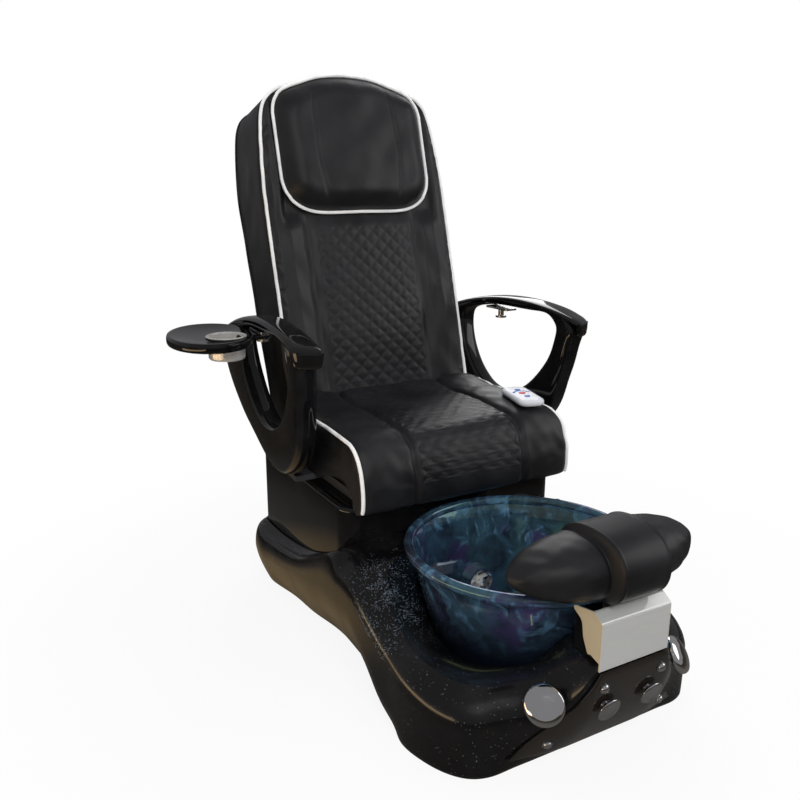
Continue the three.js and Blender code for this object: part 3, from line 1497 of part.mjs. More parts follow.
function backFrame() {
  const parts = CROSS_BARS.map((up) => {
    return block(-UPRIGHT_INNER - 4, -BAR_HALF, up - 12, UPRIGHT_INNER + 4, BAR_HALF, up + 12);
  });
  for (const side of [-1, 1]) {
    const x0 = Math.min(side * UPRIGHT_INNER, side * UPRIGHT_OUTER);
    const x1 = Math.max(side * UPRIGHT_INNER, side * UPRIGHT_OUTER);
    parts.push(block(x0, -BAR_HALF, -18, x1, BAR_HALF, UPRIGHT_TOP));
    for (const up of [CROSS_BARS[0], CROSS_BARS[2]]) {
      const x = side * 165;
      const reach = along(REAR_START, up - 8) + REAR_ROUND - SHELL_THICKNESS - RUN_GAP;
      parts.push(block(x - 15, BAR_HALF - 2, up - 8, x + 15, reach, up + 8));
      parts.push(block(x - 15, CUSHION_BACK + SEAT_GAP, up - 8, x + 15, -BAR_HALF + 2, up + 8));
    }
  }
  const frame = ontoBack(join(...parts));
  const bore = bar(
    point(-260, RECLINE_Y, RECLINE_Z),
    point(260, RECLINE_Y, RECLINE_Z),
    PIN_RADIUS + SEAT_GAP,
    20,
  );
  return cut(join(frame, ...reclineLever()), bore);
}

/** Pivot pin with its head outside the ear. */
function reclinePin(side) {
  const pin = turned([
    [0, UPRIGHT_INNER - 3],
    [PIN_RADIUS, UPRIGHT_INNER - 3],
    [PIN_RADIUS, EAR_X + EAR_WIDTH / 2 + SEAT_GAP],
    [PIN_RADIUS + 5, EAR_X + EAR_WIDTH / 2 + SEAT_GAP],
    [PIN_RADIUS + 5, EAR_X + EAR_WIDTH / 2 + 6],
    [0, EAR_X + EAR_WIDTH / 2 + 6],
  ], 20);
  return pin.rotateY((side * Math.PI) / 2).translate(0, RECLINE_Y, RECLINE_Z);
}

// recline actuator between the seat board and the lever
const LEVER_TIP = point(0, RECLINE_Y, RECLINE_Z - LEVER_LENGTH);
const TUBE_HINGE = point(0, RECLINE_LUG_Y, RECLINE_LUG_Z);
const RECLINE_AXIS = LEVER_TIP.clone().sub(TUBE_HINGE).normalize();
const RECLINE_TUBE = 124;
const onRecline = (s) => TUBE_HINGE.clone().addScaledVector(RECLINE_AXIS, s);

function reclineTube() {
  const body = bar(onRecline(-14), onRecline(RECLINE_TUBE), TUBE_RADIUS, 20);
  const bore = bar(onRecline(12), onRecline(RECLINE_TUBE + 5), ROD_RADIUS + SEAT_GAP, 20);
  const eye = bar(
    TUBE_HINGE.clone().setX(-TUBE_RADIUS - 5),
    TUBE_HINGE.clone().setX(TUBE_RADIUS + 5),
    5 + SEAT_GAP,
    16,
  );
  return cut(body, bore, eye);
}

/** Rounded (y, z) outline about the lever's pin: reach along the rod, low and high across it. */
function aroundTip(reach, low, high, radius) {
  const across = point(0, -RECLINE_AXIS.z, RECLINE_AXIS.y);
  const corner = (s, t) => {
    const p = LEVER_TIP.clone().addScaledVector(RECLINE_AXIS, s).addScaledVector(across, t);
    return [p.y, p.z, radius];
  };
  return rounded([corner(-reach, low), corner(reach, low), corner(reach, high), corner(-reach, high)]);
}

function reclineRod() {
  const reach = LEVER_TIP.distanceTo(TUBE_HINGE);
  const shaft = bar(onRecline(72), onRecline(reach - 10), ROD_RADIUS, 20);
  const eye = sideSlab(aroundTip(16, -18, 13, 10), -ROD_RADIUS, ROD_RADIUS);
  const slot = sideSlab(aroundTip(7, -11.5, 6.5, 6), -20, 20);
  return cut(join(shaft, eye), slot);
}

add('back_shell', backShell(), 'leather');
add('back_cushion', backCushion(), 'leather');
add('head_pillow', headPillow(), 'leather');
add('back_frame', backFrame(), 'steel');
SIDES.forEach(([label, side]) => {
  add(`recline_pin_${label}`, reclinePin(side), 'brushed');
});
add('recline_actuator_tube', reclineTube(), 'steel');
add('recline_actuator_rod', reclineRod(), 'brushed');

// massage mechanism
const TRACK_X = 80;
const TRACK_HALF = 4;
const TRACK_FRONT = -30;
const CARRIAGE_UP = 400;
const SHAFT_V = -58;
const WHEEL_RADIUS = 20;
const WHEEL_X = 40;

function massageTrack(side) {
  const x = side * TRACK_X;
  const rail = block(
    x - TRACK_HALF,
    TRACK_FRONT,
    WHEEL_POCKET.low - 82,
    x + TRACK_HALF,
    -BAR_HALF - SEAT_GAP,
    WHEEL_POCKET.high + 50,
  );
  return ontoBack(rail);
}

function massageCarriage() {
  const inner = TRACK_X - TRACK_HALF - SEAT_GAP;
  const body = block(-inner, CUSHION_BACK, CARRIAGE_UP - 30, inner, -BAR_HALF - 3, CARRIAGE_UP + 30);
  const ears = [-1, 1].map((side) => block(
    side * 64 - 4,
    SHAFT_V - 8,
    CARRIAGE_UP - 12,
    side * 64 + 4,
    CUSHION_BACK + 2,
    CARRIAGE_UP + 12,
  ));
  const bore = bar(point(-90, SHAFT_V, CARRIAGE_UP), point(90, SHAFT_V, CARRIAGE_UP), 5.3, 16);
  return ontoBack(cut(join(body, ...ears), bore));
}

const kneadShaft = bar(point(-70, SHAFT_V, CARRIAGE_UP), point(70, SHAFT_V, CARRIAGE_UP), 5, 16);

function kneadWheel(side) {
  const wheel = turned([
    [5.3, -9],
    [WHEEL_RADIUS - 4, -9],
    [WHEEL_RADIUS, -4],
    [WHEEL_RADIUS, 4],
    [WHEEL_RADIUS - 4, 9],
    [5.3, 9],
    [5.3, -9],
  ], 20);
  return ontoBack(wheel.rotateY(Math.PI / 2).translate(side * WHEEL_X, SHAFT_V, CARRIAGE_UP));
}

SIDES.forEach(([label, side]) => {
  add(`massage_track_${label}`, massageTrack(side), 'brushed');
});
add('massage_carriage', massageCarriage(), 'steel');
add('knead_shaft', ontoBack(kneadShaft), 'brushed');
SIDES.forEach(([label, side]) => {
  add(`knead_wheel_${label}`, kneadWheel(side), 'white');
});

// ---------------------------------------------------------------- armrests

// The top rail is an arc, so that the pad can slide along it.
const ARC_Y = 144;
const ARC_Z = -131;
const ARC_PAD = 908; // radius of the top of the pad
const ARC_RAIL = 895;
const ARC_UNDER = 884;

/** Point (y, z) on an arc of the top rail. */
const onArc = (radius, y) => [y, ARC_Z + Math.sqrt(radius ** 2 - (y - ARC_Y) ** 2)];
const railStation = (outerY, innerY) => [...onArc(ARC_RAIL, outerY), ...onArc(ARC_UNDER, innerY)];

// stations round the loop: outer (y, z), inner (y, z)
const ARM_LOOP = [
  railStation(-50, 42),
  [-64, 722, 22, 726],
  [-60, 688, 16, 692],
  [-44, 632, 27, 644],
  [-33, 580, 54, 612],
  [-22, 518, 92, 586],
  [22, 452, 140, 552],
  [90, 406, 176, 526],
  [160, 389, 212, 510],
  [225, 394, 244, 511],
  [280, 414, 276, 518],
  [345, 442, 306, 532],
  [412, 472, 340, 556],
  [474, 516, 364, 584],
  [526, 568, 382, 616],
  [554, 620, 392, 650],
  [556, 660, 392, 684],
  [538, 682, 386, 708],
  railStation(490, 368),
  railStation(400, 336),
  railStation(270, 250),
  railStation(120, 130),
];
const ARM_EDGE = 12;

/** Rounded blade section between an outer and an inner point of the loop. */
function armSection([oy, oz, iy, iz]) {
  const width = Math.hypot(iy - oy, iz - oz);
  const edge = Math.min(ARM_EDGE, width * 0.3) / width;
  const half = ARM_THICKNESS / 2;
  return [
    [0, -half * 0.6],
    [0, half * 0.6],
    [edge * 0.3, half * 0.88],
    [edge, half],
    [1 - edge, half],
    [1, half * 0.72],
    [1, -half * 0.72],
    [1 - edge, -half],
    [edge, -half],
    [edge * 0.3, -half * 0.88],
  ].map(([s, x]) => point(x, lerp(oy, iy, s), lerp(oz, iz, s)));
}

/** Turns a piece built on the arm's middle plane onto one side of the chair. */
const ontoArm = (geometry, side) => geometry.rotateZ(side * ARM_SPLAY * RAD).translate(side * ARM_X, 0, 0);

const PAD_HALF_WIDTH = 32;
const PAD_GAP = 1.5; // keeps the pad's flat facets clear of the rail's
const PAD_CAP_LOW = 706;

/** Pad along the arc of the rail; its front cap hangs over the end of the arm. */
function armPad(side) {
  const stations = [
    [PAD_FRONT_Y, 0.7, 0.5],
    [PAD_FRONT_Y + 5, 0.88, 0.82],
    [PAD_FRONT_Y + 26, 0.98, 1],
    [20, 1, 1],
    [110, 1, 1],
    [200, 1, 1],
    [300, 1, 1],
    [390, 0.98, 1],
    [PAD_REAR_Y - 22, 0.94, 0.9],
    [PAD_REAR_Y - 4, 0.8, 0.7],
    [PAD_REAR_Y, 0.66, 0.5],
  ];
  const low = ARC_RAIL + PAD_GAP;
  const rings = stations.map(([y, wide, tall]) => {
    const half = PAD_HALF_WIDTH * wide;
    const high = lerp(low, ARC_PAD, tall);
    const lip = lerp(low, high, 0.3);
    return [
      [-half * 0.94, low],
      [half * 0.94, low],
      [half, lip],
      [half * 0.84, lerp(lip, high, 0.62)],
      [half * 0.48, lerp(lip, high, 0.93)],
      [0, high],
      [-half * 0.48, lerp(lip, high, 0.93)],
      [-half * 0.84, lerp(lip, high, 0.62)],
      [-half, lip],
    ].map(([x, radius]) => point(x, ...onArc(radius, y)));
  });
  const [, capTop] = onArc(low + 4, PAD_FRONT_Y + 6);
  const cap = loft([
    [PAD_CAP_LOW, 0.72],
    [PAD_CAP_LOW + 8, 0.84],
    [capTop, 0.88],
  ].map(([z, wide]) => rectangle(
    -PAD_HALF_WIDTH * wide,
    PAD_FRONT_Y + 1,
    PAD_HALF_WIDTH * wide,
    PAD_FRONT_Y + 15,
    4,
  ).map(([x, y]) => point(x, y, z))));
  return ontoArm(join(loft(rings), cap), side);
}

SIDES.forEach(([label, side]) => {
  add(`arm_${label}`, ontoArm(hoop(ARM_LOOP.map(armSection)), side), 'gelcoat');
  add(`arm_pad_${label}`, armPad(side), 'gelcoat');
});

// ---------------------------------------------------------------- tray and cup

const BRACKET_TOP = onArc(ARC_UNDER, TRAY_Y + 46)[1] - 1.6;
const TRAY_TOP_Z = BRACKET_TOP - 5 - SEAT_GAP;
const TRAY_LOW_Z = TRAY_TOP_Z - TRAY_THICKNESS;
const TRAY_PIN_RADIUS = 8;
const TRAY_PIN_X = ARM_X - TRAY_Y * Math.sin(ARM_SPLAY * RAD);
const TRAY_PIN_Y = TRAY_Y * Math.cos(ARM_SPLAY * RAD);
const TRAY_PLACE = [-TRAY_PIN_X - 120, TRAY_PIN_Y + 34];
const CUP_PLACE = [-TRAY_PIN_X - 99, TRAY_PIN_Y - 24];

/** Plate under the arm's top rail with a swivel pin and its washer. */
function trayBracket(side) {
  const plate = slab(rectangle(-20, TRAY_Y - 46, 20, TRAY_Y + 46, 6), BRACKET_TOP - 5, BRACKET_TOP);
  const pin = rod(TRAY_PIN_RADIUS, TRAY_LOW_Z - 6, BRACKET_TOP - 3).translate(0, TRAY_Y, 0);
  const washer = rod(TRAY_PIN_RADIUS + 7, TRAY_LOW_Z - 6, TRAY_LOW_Z - SEAT_GAP).translate(0, TRAY_Y, 0);
  return ontoArm(join(plate, pin, washer), side);
}

/** Oval tray with a cup hole and a neck that turns on the pin. */
function tray() {
  const sides = 36;
  const ring = (inset, z) => Array.from({ length: sides }, (_, i) => {
    const angle = (2 * Math.PI * i) / sides;
    return point((TRAY_HALF_X - inset) * Math.cos(angle), (TRAY_HALF_Y - inset) * Math.sin(angle), z);
  });
  const plate = loft([
    ring(10, TRAY_LOW_Z),
    ring(3, TRAY_LOW_Z + 3),
    ring(0, TRAY_LOW_Z + 9),
    ring(1.5, TRAY_TOP_Z - 4),
    ring(5, TRAY_TOP_Z),
  ]).rotateZ(-TRAY_TURN * RAD).translate(...TRAY_PLACE, 0);
  const neck = slab([
    [TRAY_PLACE[0] + 60, TRAY_PIN_Y - 44],
    [-TRAY_PIN_X, TRAY_PIN_Y - 20],
    [-TRAY_PIN_X, TRAY_PIN_Y + 20],
    [TRAY_PLACE[0] + 60, TRAY_PIN_Y + 50],
  ], TRAY_LOW_Z + 2, TRAY_TOP_Z - 2);
  const hub = rod(20, TRAY_LOW_Z, TRAY_TOP_Z, 24).translate(-TRAY_PIN_X, TRAY_PIN_Y, 0);
  const hole = rod(TRAY_PIN_RADIUS + SEAT_GAP, TRAY_LOW_Z - 5, TRAY_TOP_Z + 5)
    .translate(-TRAY_PIN_X, TRAY_PIN_Y, 0);
  const cup = rod(CUP_RADIUS + SEAT_GAP, TRAY_LOW_Z - 5, TRAY_TOP_Z + 5, 32)
    .translate(...CUP_PLACE, 0);
  return cut(join(plate, neck, hub), hole, cup);
}

function cupHolder() {
  const lip = TRAY_TOP_Z + SEAT_GAP;
  const low = lip + 3 - CUP_DEPTH;
  return turned([
    [0, low],
    [CUP_RADIUS - 2, low],
    [CUP_RADIUS, low + 3],
    [CUP_RADIUS, lip],
    [CUP_RADIUS + 5, lip],
    [CUP_RADIUS + 5, lip + 2],
    [CUP_RADIUS + 2, lip + 3],
    [CUP_RADIUS - 2, lip + 3],
    [CUP_RADIUS - 2, low + 2.5],
    [0, low + 2.5],
  ], 32).translate(...CUP_PLACE, 0);
}

SIDES.forEach(([label, side]) => {
  add(`tray_bracket_${label}`, trayBracket(side), 'brushed');
});
add('tray', tray(), 'gelcoat');
add('cup_holder', cupHolder(), 'brushed');

// ---------------------------------------------------------------- remote

const REMOTE_LOW = SEAT_TOP_Z + 3.1;
const REMOTE_TURN = -14; // degrees, in plan
const ontoSeat = (geometry) => geometry.rotateZ(REMOTE_TURN * RAD).translate(226, -34, 0);
const REMOTE_HALF = [34, 72];
const REMOTE_THICKNESS = 17;
const KEY_PLACES = [
  ['power', 0, 2, 9, 'red'],
  ['up', 0, 34, 7, 'blue'],
  ['down', 0, -30, 7, 'blue'],
];

function remoteShell() {
  const [halfX, halfY] = REMOTE_HALF;
  const body = loft([
    [4, 0],
    [0, 4],
    [0, REMOTE_THICKNESS - 4],
    [4, REMOTE_THICKNESS],
  ].map(([inset, up]) => rectangle(
    -halfX + inset,
    -halfY + inset,
    halfX - inset,
    halfY - inset,
    16,
  ).map(([x, y]) => point(x, y, REMOTE_LOW + up))));
  const wells = KEY_PLACES.map(([, x, y, radius]) => {
    return rod(radius + 0.5, REMOTE_LOW + REMOTE_THICKNESS - 5, REMOTE_LOW + REMOTE_THICKNESS + 5, 16)
      .translate(x, y, 0);
  });
  return ontoSeat(cut(body, ...wells));
}

add('remote_shell', remoteShell(), 'pale');
KEY_PLACES.forEach(([label, x, y, radius, finish]) => {
  const low = REMOTE_LOW + REMOTE_THICKNESS - 3;
  const key = turned([
    [0, low],
    [radius, low],
    [radius, low + 4],
    [radius - 1.5, low + 5],
    [0, low + 5.4],
  ], 16).translate(x, y, 0);
  add(`remote_${label}_key`, ontoSeat(key), finish);
});

export default chair;
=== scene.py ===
"""Pedicure spa chair: smooth surfaces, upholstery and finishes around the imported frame."""

import math

import bmesh
import bpy
import numpy as np
from bpy.props import FloatProperty, FloatVectorProperty, PointerProperty
from mathutils import Matrix, Vector


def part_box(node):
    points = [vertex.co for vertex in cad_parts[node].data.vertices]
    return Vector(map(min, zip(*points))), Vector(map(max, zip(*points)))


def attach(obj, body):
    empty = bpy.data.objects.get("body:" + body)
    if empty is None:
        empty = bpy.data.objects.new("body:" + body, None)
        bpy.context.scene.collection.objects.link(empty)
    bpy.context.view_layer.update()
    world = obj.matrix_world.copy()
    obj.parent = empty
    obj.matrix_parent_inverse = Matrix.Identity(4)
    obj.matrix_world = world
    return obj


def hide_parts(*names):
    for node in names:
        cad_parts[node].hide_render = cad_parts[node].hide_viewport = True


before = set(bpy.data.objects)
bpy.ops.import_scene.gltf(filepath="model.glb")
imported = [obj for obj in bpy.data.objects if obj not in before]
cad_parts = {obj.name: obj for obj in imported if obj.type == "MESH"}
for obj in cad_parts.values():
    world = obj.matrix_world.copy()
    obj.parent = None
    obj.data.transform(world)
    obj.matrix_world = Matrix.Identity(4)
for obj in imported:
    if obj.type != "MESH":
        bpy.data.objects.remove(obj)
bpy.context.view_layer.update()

bl_info = {
    "name": "Pedicure spa chair",
    "version": (1, 0, 0),
    "blender": (4, 5, 0),
    "location": "View3D > Sidebar > Spa chair",
    "description": "Builds the upholstery, mouldings and finishes of a pedicure spa chair",
    "category": "Add Mesh",
}

MM = 0.001  # shapes are worked out in millimetres and stored in metres

# camera, from the photograph's vanishing lines
CAMERA_PLACE = (-1.068, -1.674, 1.119)
CAMERA_YAW = -29.8
CAMERA_PITCH = 15.5
CAMERA_ROLL = 0.26
CAMERA_LENS = 37.98
CAMERA_SHIFT = (-0.00125, 0.00125)

SHELL_WALL = 0.005  # metres, of the base's and the back's shells

# base shell
BASE_FRONT = -684.0
BASE_REAR = 520.0
BASE_HALF = 345.0
BOW_DEPTH = 100.0
BOW_TOP = 235.0
FRONT_FLAT = 238.0
NOSE_HALF = 84.0
NOSE_FADE = 262.0
REAR_FLAT = 200.0
FRONT_CORNER = -410.0
REAR_CORNER = 380.0
REAR_UNDERCUT = 36.0
CREST_SHARE = 0.45
FLOOR_HALF = [(-600, -3), (-410, -3), (-330, -24), (-170, -77), (0, -84), (200, -59), (380, -34)]
WIDEST_Z = [(-410, 40), (-330, 70), (-250, 130), (-170, 185), (-60, 185), (120, 150), (360, 112)]

# bowl
BOWL_Y = -350.0
BOWL_RIM_Z = 345.0
BOWL_RIM_RADIUS = 262.0
BOWL_WALL = 6.0
BOWL_RIM_ROLL = (11.0, 12.0)
BOWL_HEEL = 34.0
BOWL_GAP = 3.0
BOWL_FLOOR_Z = 92.0
BOWL_FOOT = 150.0
DRAIN_RADIUS = 24.0

# seat plinth
PLINTH_HALF = 300.0
PLINTH_FRONT = -82.0
PLINTH_REAR = 452.0
PLINTH_TOP = 372.0
PLINTH_CORNER = 46.0
PLINTH_FOOT = 12.3
PLINTH_ROLL = 12.0
PLINTH_WALL = 8.0
PLINTH_OPENING = (104.0, 40.0)

# back, in its own plane: x across, v forward-back, u up the back from the pivot
RECLINE_Y = 372.0
RECLINE_Z = 436.0
BACK_TILT = math.radians(16)
CUSHION_FACE = -112.0
CUSHION_BACK = -34.0
POCKET_DEPTH = -85.0
BACK_FOOT = -6.0
SHELL_FOOT = BACK_FOOT + 4.0
BACK_HALF = 270.0
EDGE_HALF = 271.0
BACK_EDGE = [
    # x in units that put the widest place at EDGE_HALF, height
    (268, 0), (270, 110), (271, 250), (271, 400), (271, 500), (271, 560), (270, 640), (263, 735),
    (256, 790), (247, 830), (232, 858), (205, 879), (160, 897), (100, 913), (40, 922),
]
CUSHION_HALF = 269.5
CUSHION_TOP = [
    # x, height of the cushion's top
    (0, 924), (40, 922), (100, 913), (160, 897), (205, 879), (232, 858), (247, 830), (256, 790),
    (263, 735), (268, 655), (269.6, 560),
]
CUSHION_WALLS = [
    # half width, half height, depth
    (CUSHION_HALF, 459.5, -102), (263, 453, -101), (263, 453, CUSHION_BACK - 2),
    (114, 336, CUSHION_BACK - 2), (114, 336, POCKET_DEPTH),
]
REAR_START = [(0, 34), (110, 40), (350, 58), (500, 70), (650, 84), (900, 84)]
REAR_ROUND = 45.0
REAR_FOOT_RISE = 38.0
PILLOW_BACK = CUSHION_FACE - 3.0
PILLOW_ROUND = 62.0
PILLOW_CROWN = 46.0
PILLOW_SEAM = 5.0
PILLOW_EDGE = [
    # x, lower edge, upper edge
    (0, 557, 919), (60, 556, 915), (98, 556, 907), (128, 558, 897), (165, 568, 884),
    (196, 590, 866), (212, 616, 842), (218, 644, 816),
]

# armrests: the top rail is an arc in the arm's own plane
ARM_X = 372.0
ARM_SPLAY = math.radians(3.5)
ARM_THICKNESS = 54.0
ARM_LEAN = 0.07
ARM_LEAN_TOP = 720.0
ARC_Y = 144.0
ARC_Z = -131.0
ARC_RAIL = 895.0
ARC_UNDER = 884.0
ARC_PAD = 908.0
PAD_FRONT = -88.0
PAD_REAR = 482.0
PAD_HALF = 32.0
PAD_SLANT = 0.5
PAD_ROUND = 26.0
PAD_GAP = 1.5
CAP_INSET = 8.0
CAP_LEVELS = [
    # height, share of the pad's half width, half depth
    (706, 0.5, 2), (708, 0.66, 5), (712, 0.78, 7), (724, 0.88, 7.4), (738, 0.92, 7.4),
]

# tray
TRAY_PIN = (-356.98, 245.54)
TRAY_PLACE = (-476.98, 279.54)
TRAY_HALF = (102.0, 140.0)
TRAY_TURN = math.radians(-10)
CUP_PLACE = (-455.98, 221.54)
CUP_RADIUS = 43.0
CUP_PLAY = 0.3
PIN_HOLE = 8.3

SIDES = (("right", -1), ("left", 1))


# ---------------------------------------------------------------- sizes and colours


class ChairSizes(bpy.types.PropertyGroup):
    """Sizes of the upholstery details."""

    piping: FloatProperty(
        name="Piping radius", description="Radius of the pale piping",
        default=0.0045, min=0.001, max=0.008, unit="LENGTH")
    quilt: FloatProperty(
        name="Quilt width", description="Width of one quilted diamond",
        default=0.040, min=0.02, max=0.1, unit="LENGTH")
    quilt_depth: FloatProperty(
        name="Quilt depth", description="How far the quilting is drawn in along its stitches",
        default=0.0030, min=0.0, max=0.01, unit="LENGTH")
    crease: FloatProperty(
        name="Crease height", description="Height of the soft creases in the leather",
        default=0.0009, min=0.0, max=0.01, unit="LENGTH")


class ChairColours(bpy.types.PropertyGroup):
    """Colours of the finishes."""

    leather: FloatVectorProperty(
        name="Leather", description="Upholstery leather", subtype="COLOR",
        default=(0.0065, 0.0065, 0.0075), min=0, max=1)
    piping: FloatVectorProperty(
        name="Piping", description="Piping round the cushions", subtype="COLOR",
        default=(0.93, 0.93, 0.92), min=0, max=1)
    gelcoat: FloatVectorProperty(
        name="Gelcoat", description="Polished gelcoat of the base and the arms", subtype="COLOR",
        default=(0.004, 0.0038, 0.004), min=0, max=1)
    flake: FloatVectorProperty(
        name="Flake", description="Glitter in the base's gelcoat", subtype="COLOR",
        default=(0.55, 0.68, 0.85), min=0, max=1)
    bowl: FloatVectorProperty(
        name="Bowl", description="Tint of the bowl", subtype="COLOR",
        default=(0.07, 0.16, 0.24), min=0, max=1)


# ---------------------------------------------------------------- numpy shapes


def eased(table, t):
    """Value at t in a table of (t, value): linear between entries, eased by s*s*(3-2s)."""
    xs, ys = np.transpose(np.asarray(table, float))
    t = np.asarray(t, float)
    i = np.clip(np.searchsorted(xs, t, side="right") - 1, 0, len(xs) - 2)
    s = np.clip((t - xs[i]) / (xs[i + 1] - xs[i]), 0, 1)
    return ys[i] + (ys[i + 1] - ys[i]) * s * s * (3 - 2 * s)


def smoothstep(t, low, high):
    """0 below low, 1 above high, s*s*(3-2s) between."""
    s = np.clip((np.asarray(t, float) - low) / (high - low), 0, 1)
    return s * s * (3 - 2 * s)


def spline(rows, steps, closed=False):
    """Cubic spline through rows, steps samples a span: second derivatives m solve
    h0*m0 + 2*(h0+h1)*m1 + h1*m2 = 6*(slope1 - slope0), natural at the ends or periodic."""
    p = np.asarray(rows, float)
    n = len(p)
    flat = p.reshape(n, -1)
    ahead = np.roll(flat, -1, 0)
    gaps = np.linalg.norm((ahead - flat).reshape(n, -1, p.shape[-1]), axis=2).mean(1)
    gaps = np.maximum(gaps, 1e-6)
    slope = (ahead - flat) / gaps[:, None]
    system = np.zeros((n, n))
    right = np.zeros_like(flat)
    for i in range(n):
        before = i - 1
        if not closed and i in (0, n - 1):
            system[i, i] = 1
            continue
        system[i, before] += gaps[before]
        system[i, i] += 2 * (gaps[before] + gaps[i])
        system[i, (i + 1) % n] += gaps[i]
        right[i] = 6 * (slope[i] - slope[before])
    m = np.linalg.solve(system, right)
    spans = np.arange(n if closed else n - 1)
    s = np.linspace(0, 1, steps, endpoint=False)[None, :, None]
    a, b = flat[spans][:, None], ahead[spans][:, None]
    ma, mb = m[spans][:, None], np.roll(m, -1, 0)[spans][:, None]
    h = gaps[spans][:, None, None]
    out = a * (1 - s) + b * s + h * h / 6 * (((1 - s) ** 3 - (1 - s)) * ma + (s ** 3 - s) * mb)
    out = out.reshape(-1, flat.shape[1])
    if not closed:
        out = np.vstack([out, flat[-1:]])
    return out.reshape((len(out),) + p.shape[1:])


def normals(grid, close_u=False, close_v=False):
    """Unit normals of a grid: cross product of the differences along its two directions."""
    def slope(axis, close):
        if close:
            return np.roll(grid, -1, axis) - np.roll(grid, 1, axis)
        return np.gradient(grid, axis=axis)
    n = np.cross(slope(0, close_u), slope(1, close_v))
    return n / np.maximum(np.linalg.norm(n, axis=2, keepdims=True), 1e-9)


def ripple(a, b, seed, waves=7, low=0.008, high=0.03):
    """Smooth uneven field of about -1..1: a sum of sines with seeded directions and lengths (per mm)."""
    rng = np.random.default_rng(seed)
    total = 0
    for _ in range(waves):
        turn, phase, pitch = rng.uniform(0, 2 * math.pi, 3)
        rate = low + (high - low) * pitch / (2 * math.pi)
        along = a * math.cos(turn) + b * math.sin(turn)
        total = total + np.sin(2 * math.pi * rate * along + phase)
    return total / math.sqrt(waves)


def quilt(a, b, width):
    """Diamond quilting, 0 on the stitches and 1 on the crowns: min(|sin(a+b)|, |sin(a-b)|) rooted."""
    first = np.abs(np.sin(math.pi * (a + b) / width))
    second = np.abs(np.sin(math.pi * (a - b) / width))
    return np.minimum(first, second) ** 0.55


def faces_of(rows, columns, close_u, close_v, start=0):
    """Quads of a grid, wrapped where a direction is closed."""
    i = np.arange(rows if close_u else rows - 1)[:, None]
    j = np.arange(columns if close_v else columns - 1)[None, :]
    up, along = (i + 1) % rows, (j + 1) % columns
    quads = np.stack([i * columns + j, up * columns + j, up * columns + along, i * columns + along], -1)
    return (quads.reshape(-1, 4) + start).tolist()


def arc_lengths(grid, axis):
    """Distance run along one direction of a grid, from its start."""
    step = np.linalg.norm(np.diff(grid, axis=axis), axis=2)
    pad = [(0, 0), (0, 0)]
    pad[axis] = (1, 0)
    return np.cumsum(np.pad(step, pad), axis=axis)


# how a grid closes: turned about its axis, a closed ring of closed sections, or closed sections with ends
TURNED = {"close_u": True}
LOOPED = {"close_u": True, "close_v": True}
CAPPED = {"close_v": True, "cap_start": True, "cap_end": True}


class Builder:
    """Gathers grids and caps in millimetres and makes one mesh of them."""

    def __init__(self):
        self.points = []
        self.faces = []
        self.flow = []
        self.count = 0
        self.columns = 0

    def grid(self, grid, close_u=False, close_v=False, cap_start=False, cap_end=False):
        """Adds a grid; its first or last row is closed with a fan to the row's middle."""
        rows, columns = grid.shape[:2]
        self.columns = columns
        start = self.count
        self.faces += faces_of(rows, columns, close_u, close_v, start)
        flow = np.stack([arc_lengths(grid, 0), arc_lengths(grid, 1)], -1)
        self._add(grid.reshape(-1, 3), flow.reshape(-1, 2))
        for wanted, row in ((cap_start, 0), (cap_end, rows - 1)):
            if wanted:
                hub = self.count
                self._add(grid[row].mean(0)[None], np.zeros((1, 2)))
                ring = start + row * columns + np.arange(columns)
                after = np.roll(ring, -1)
                self.faces += [[int(a), int(b), hub] for a, b in zip(ring, after)]
        return self

    def flat_end(self, row):
        """Closes one row of the only grid so far with a single flat face."""
        columns = self.columns
        self.faces.append([row * columns + k for k in range(columns)])
        return self

    def _add(self, points, flow):
        self.points.append(points)
        self.flow.append(flow)
        self.count += len(points)

    def make(self, name, material, smooth_angle=None, outward=True):
        """Mesh object at the origin, in metres, with a UV map of distances along its two directions."""
        mesh = bpy.data.meshes.new(name)
        mesh.from_pydata((np.vstack(self.points) * MM).tolist(), [], self.faces)
        flow = np.vstack(self.flow) * MM
        layer = mesh.uv_layers.new(name="flow")
        corner = np.zeros(len(mesh.loops), np.int32)
        mesh.loops.foreach_get("vertex_index", corner)
        layer.data.foreach_set("uv", flow[corner].astype(np.float32).ravel())
        if outward:
            shape = bmesh.new()
            shape.from_mesh(mesh)
            bmesh.ops.remove_doubles(shape, verts=shape.verts, dist=1e-6)
            bmesh.ops.recalc_face_normals(shape, faces=shape.faces)
            shape.to_mesh(mesh)
            shape.free()
        mesh.shade_smooth()
        if smooth_angle:
            mesh.set_sharp_from_angle(angle=math.radians(smooth_angle))
        mesh.materials.append(material)
        piece = bpy.data.objects.new(name, mesh)
        bpy.context.scene.collection.objects.link(piece)
        return piece


def bored(piece, rods):
    """Cuts rods out of a piece and throws the rods away."""
    for rod in rods:
        cut = piece.modifiers.new("bore", "BOOLEAN")
        cut.operation = "DIFFERENCE"
        cut.object = rod
    graph = bpy.context.evaluated_depsgraph_get()
    mesh = bpy.data.meshes.new_from_object(piece.evaluated_get(graph))
    piece.modifiers.clear()
    piece.data = mesh
    for rod in rods:
        bpy.data.objects.remove(rod)


def finish_piece(piece, body, nodes=()):
    """Puts a piece on its body and hides the nodes it stands for."""
    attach(piece, body)
    if nodes:
        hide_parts(*nodes)


def add_piece(name, grid, finish, body, nodes=(), slot=None, angle=None, **closing):
    """Makes one grid a piece in a finish, and puts it on its body."""
    piece = Builder().grid(grid, **closing).make(name, finishes()[finish], angle)
    finish_piece(piece, body, nodes)
    return piece


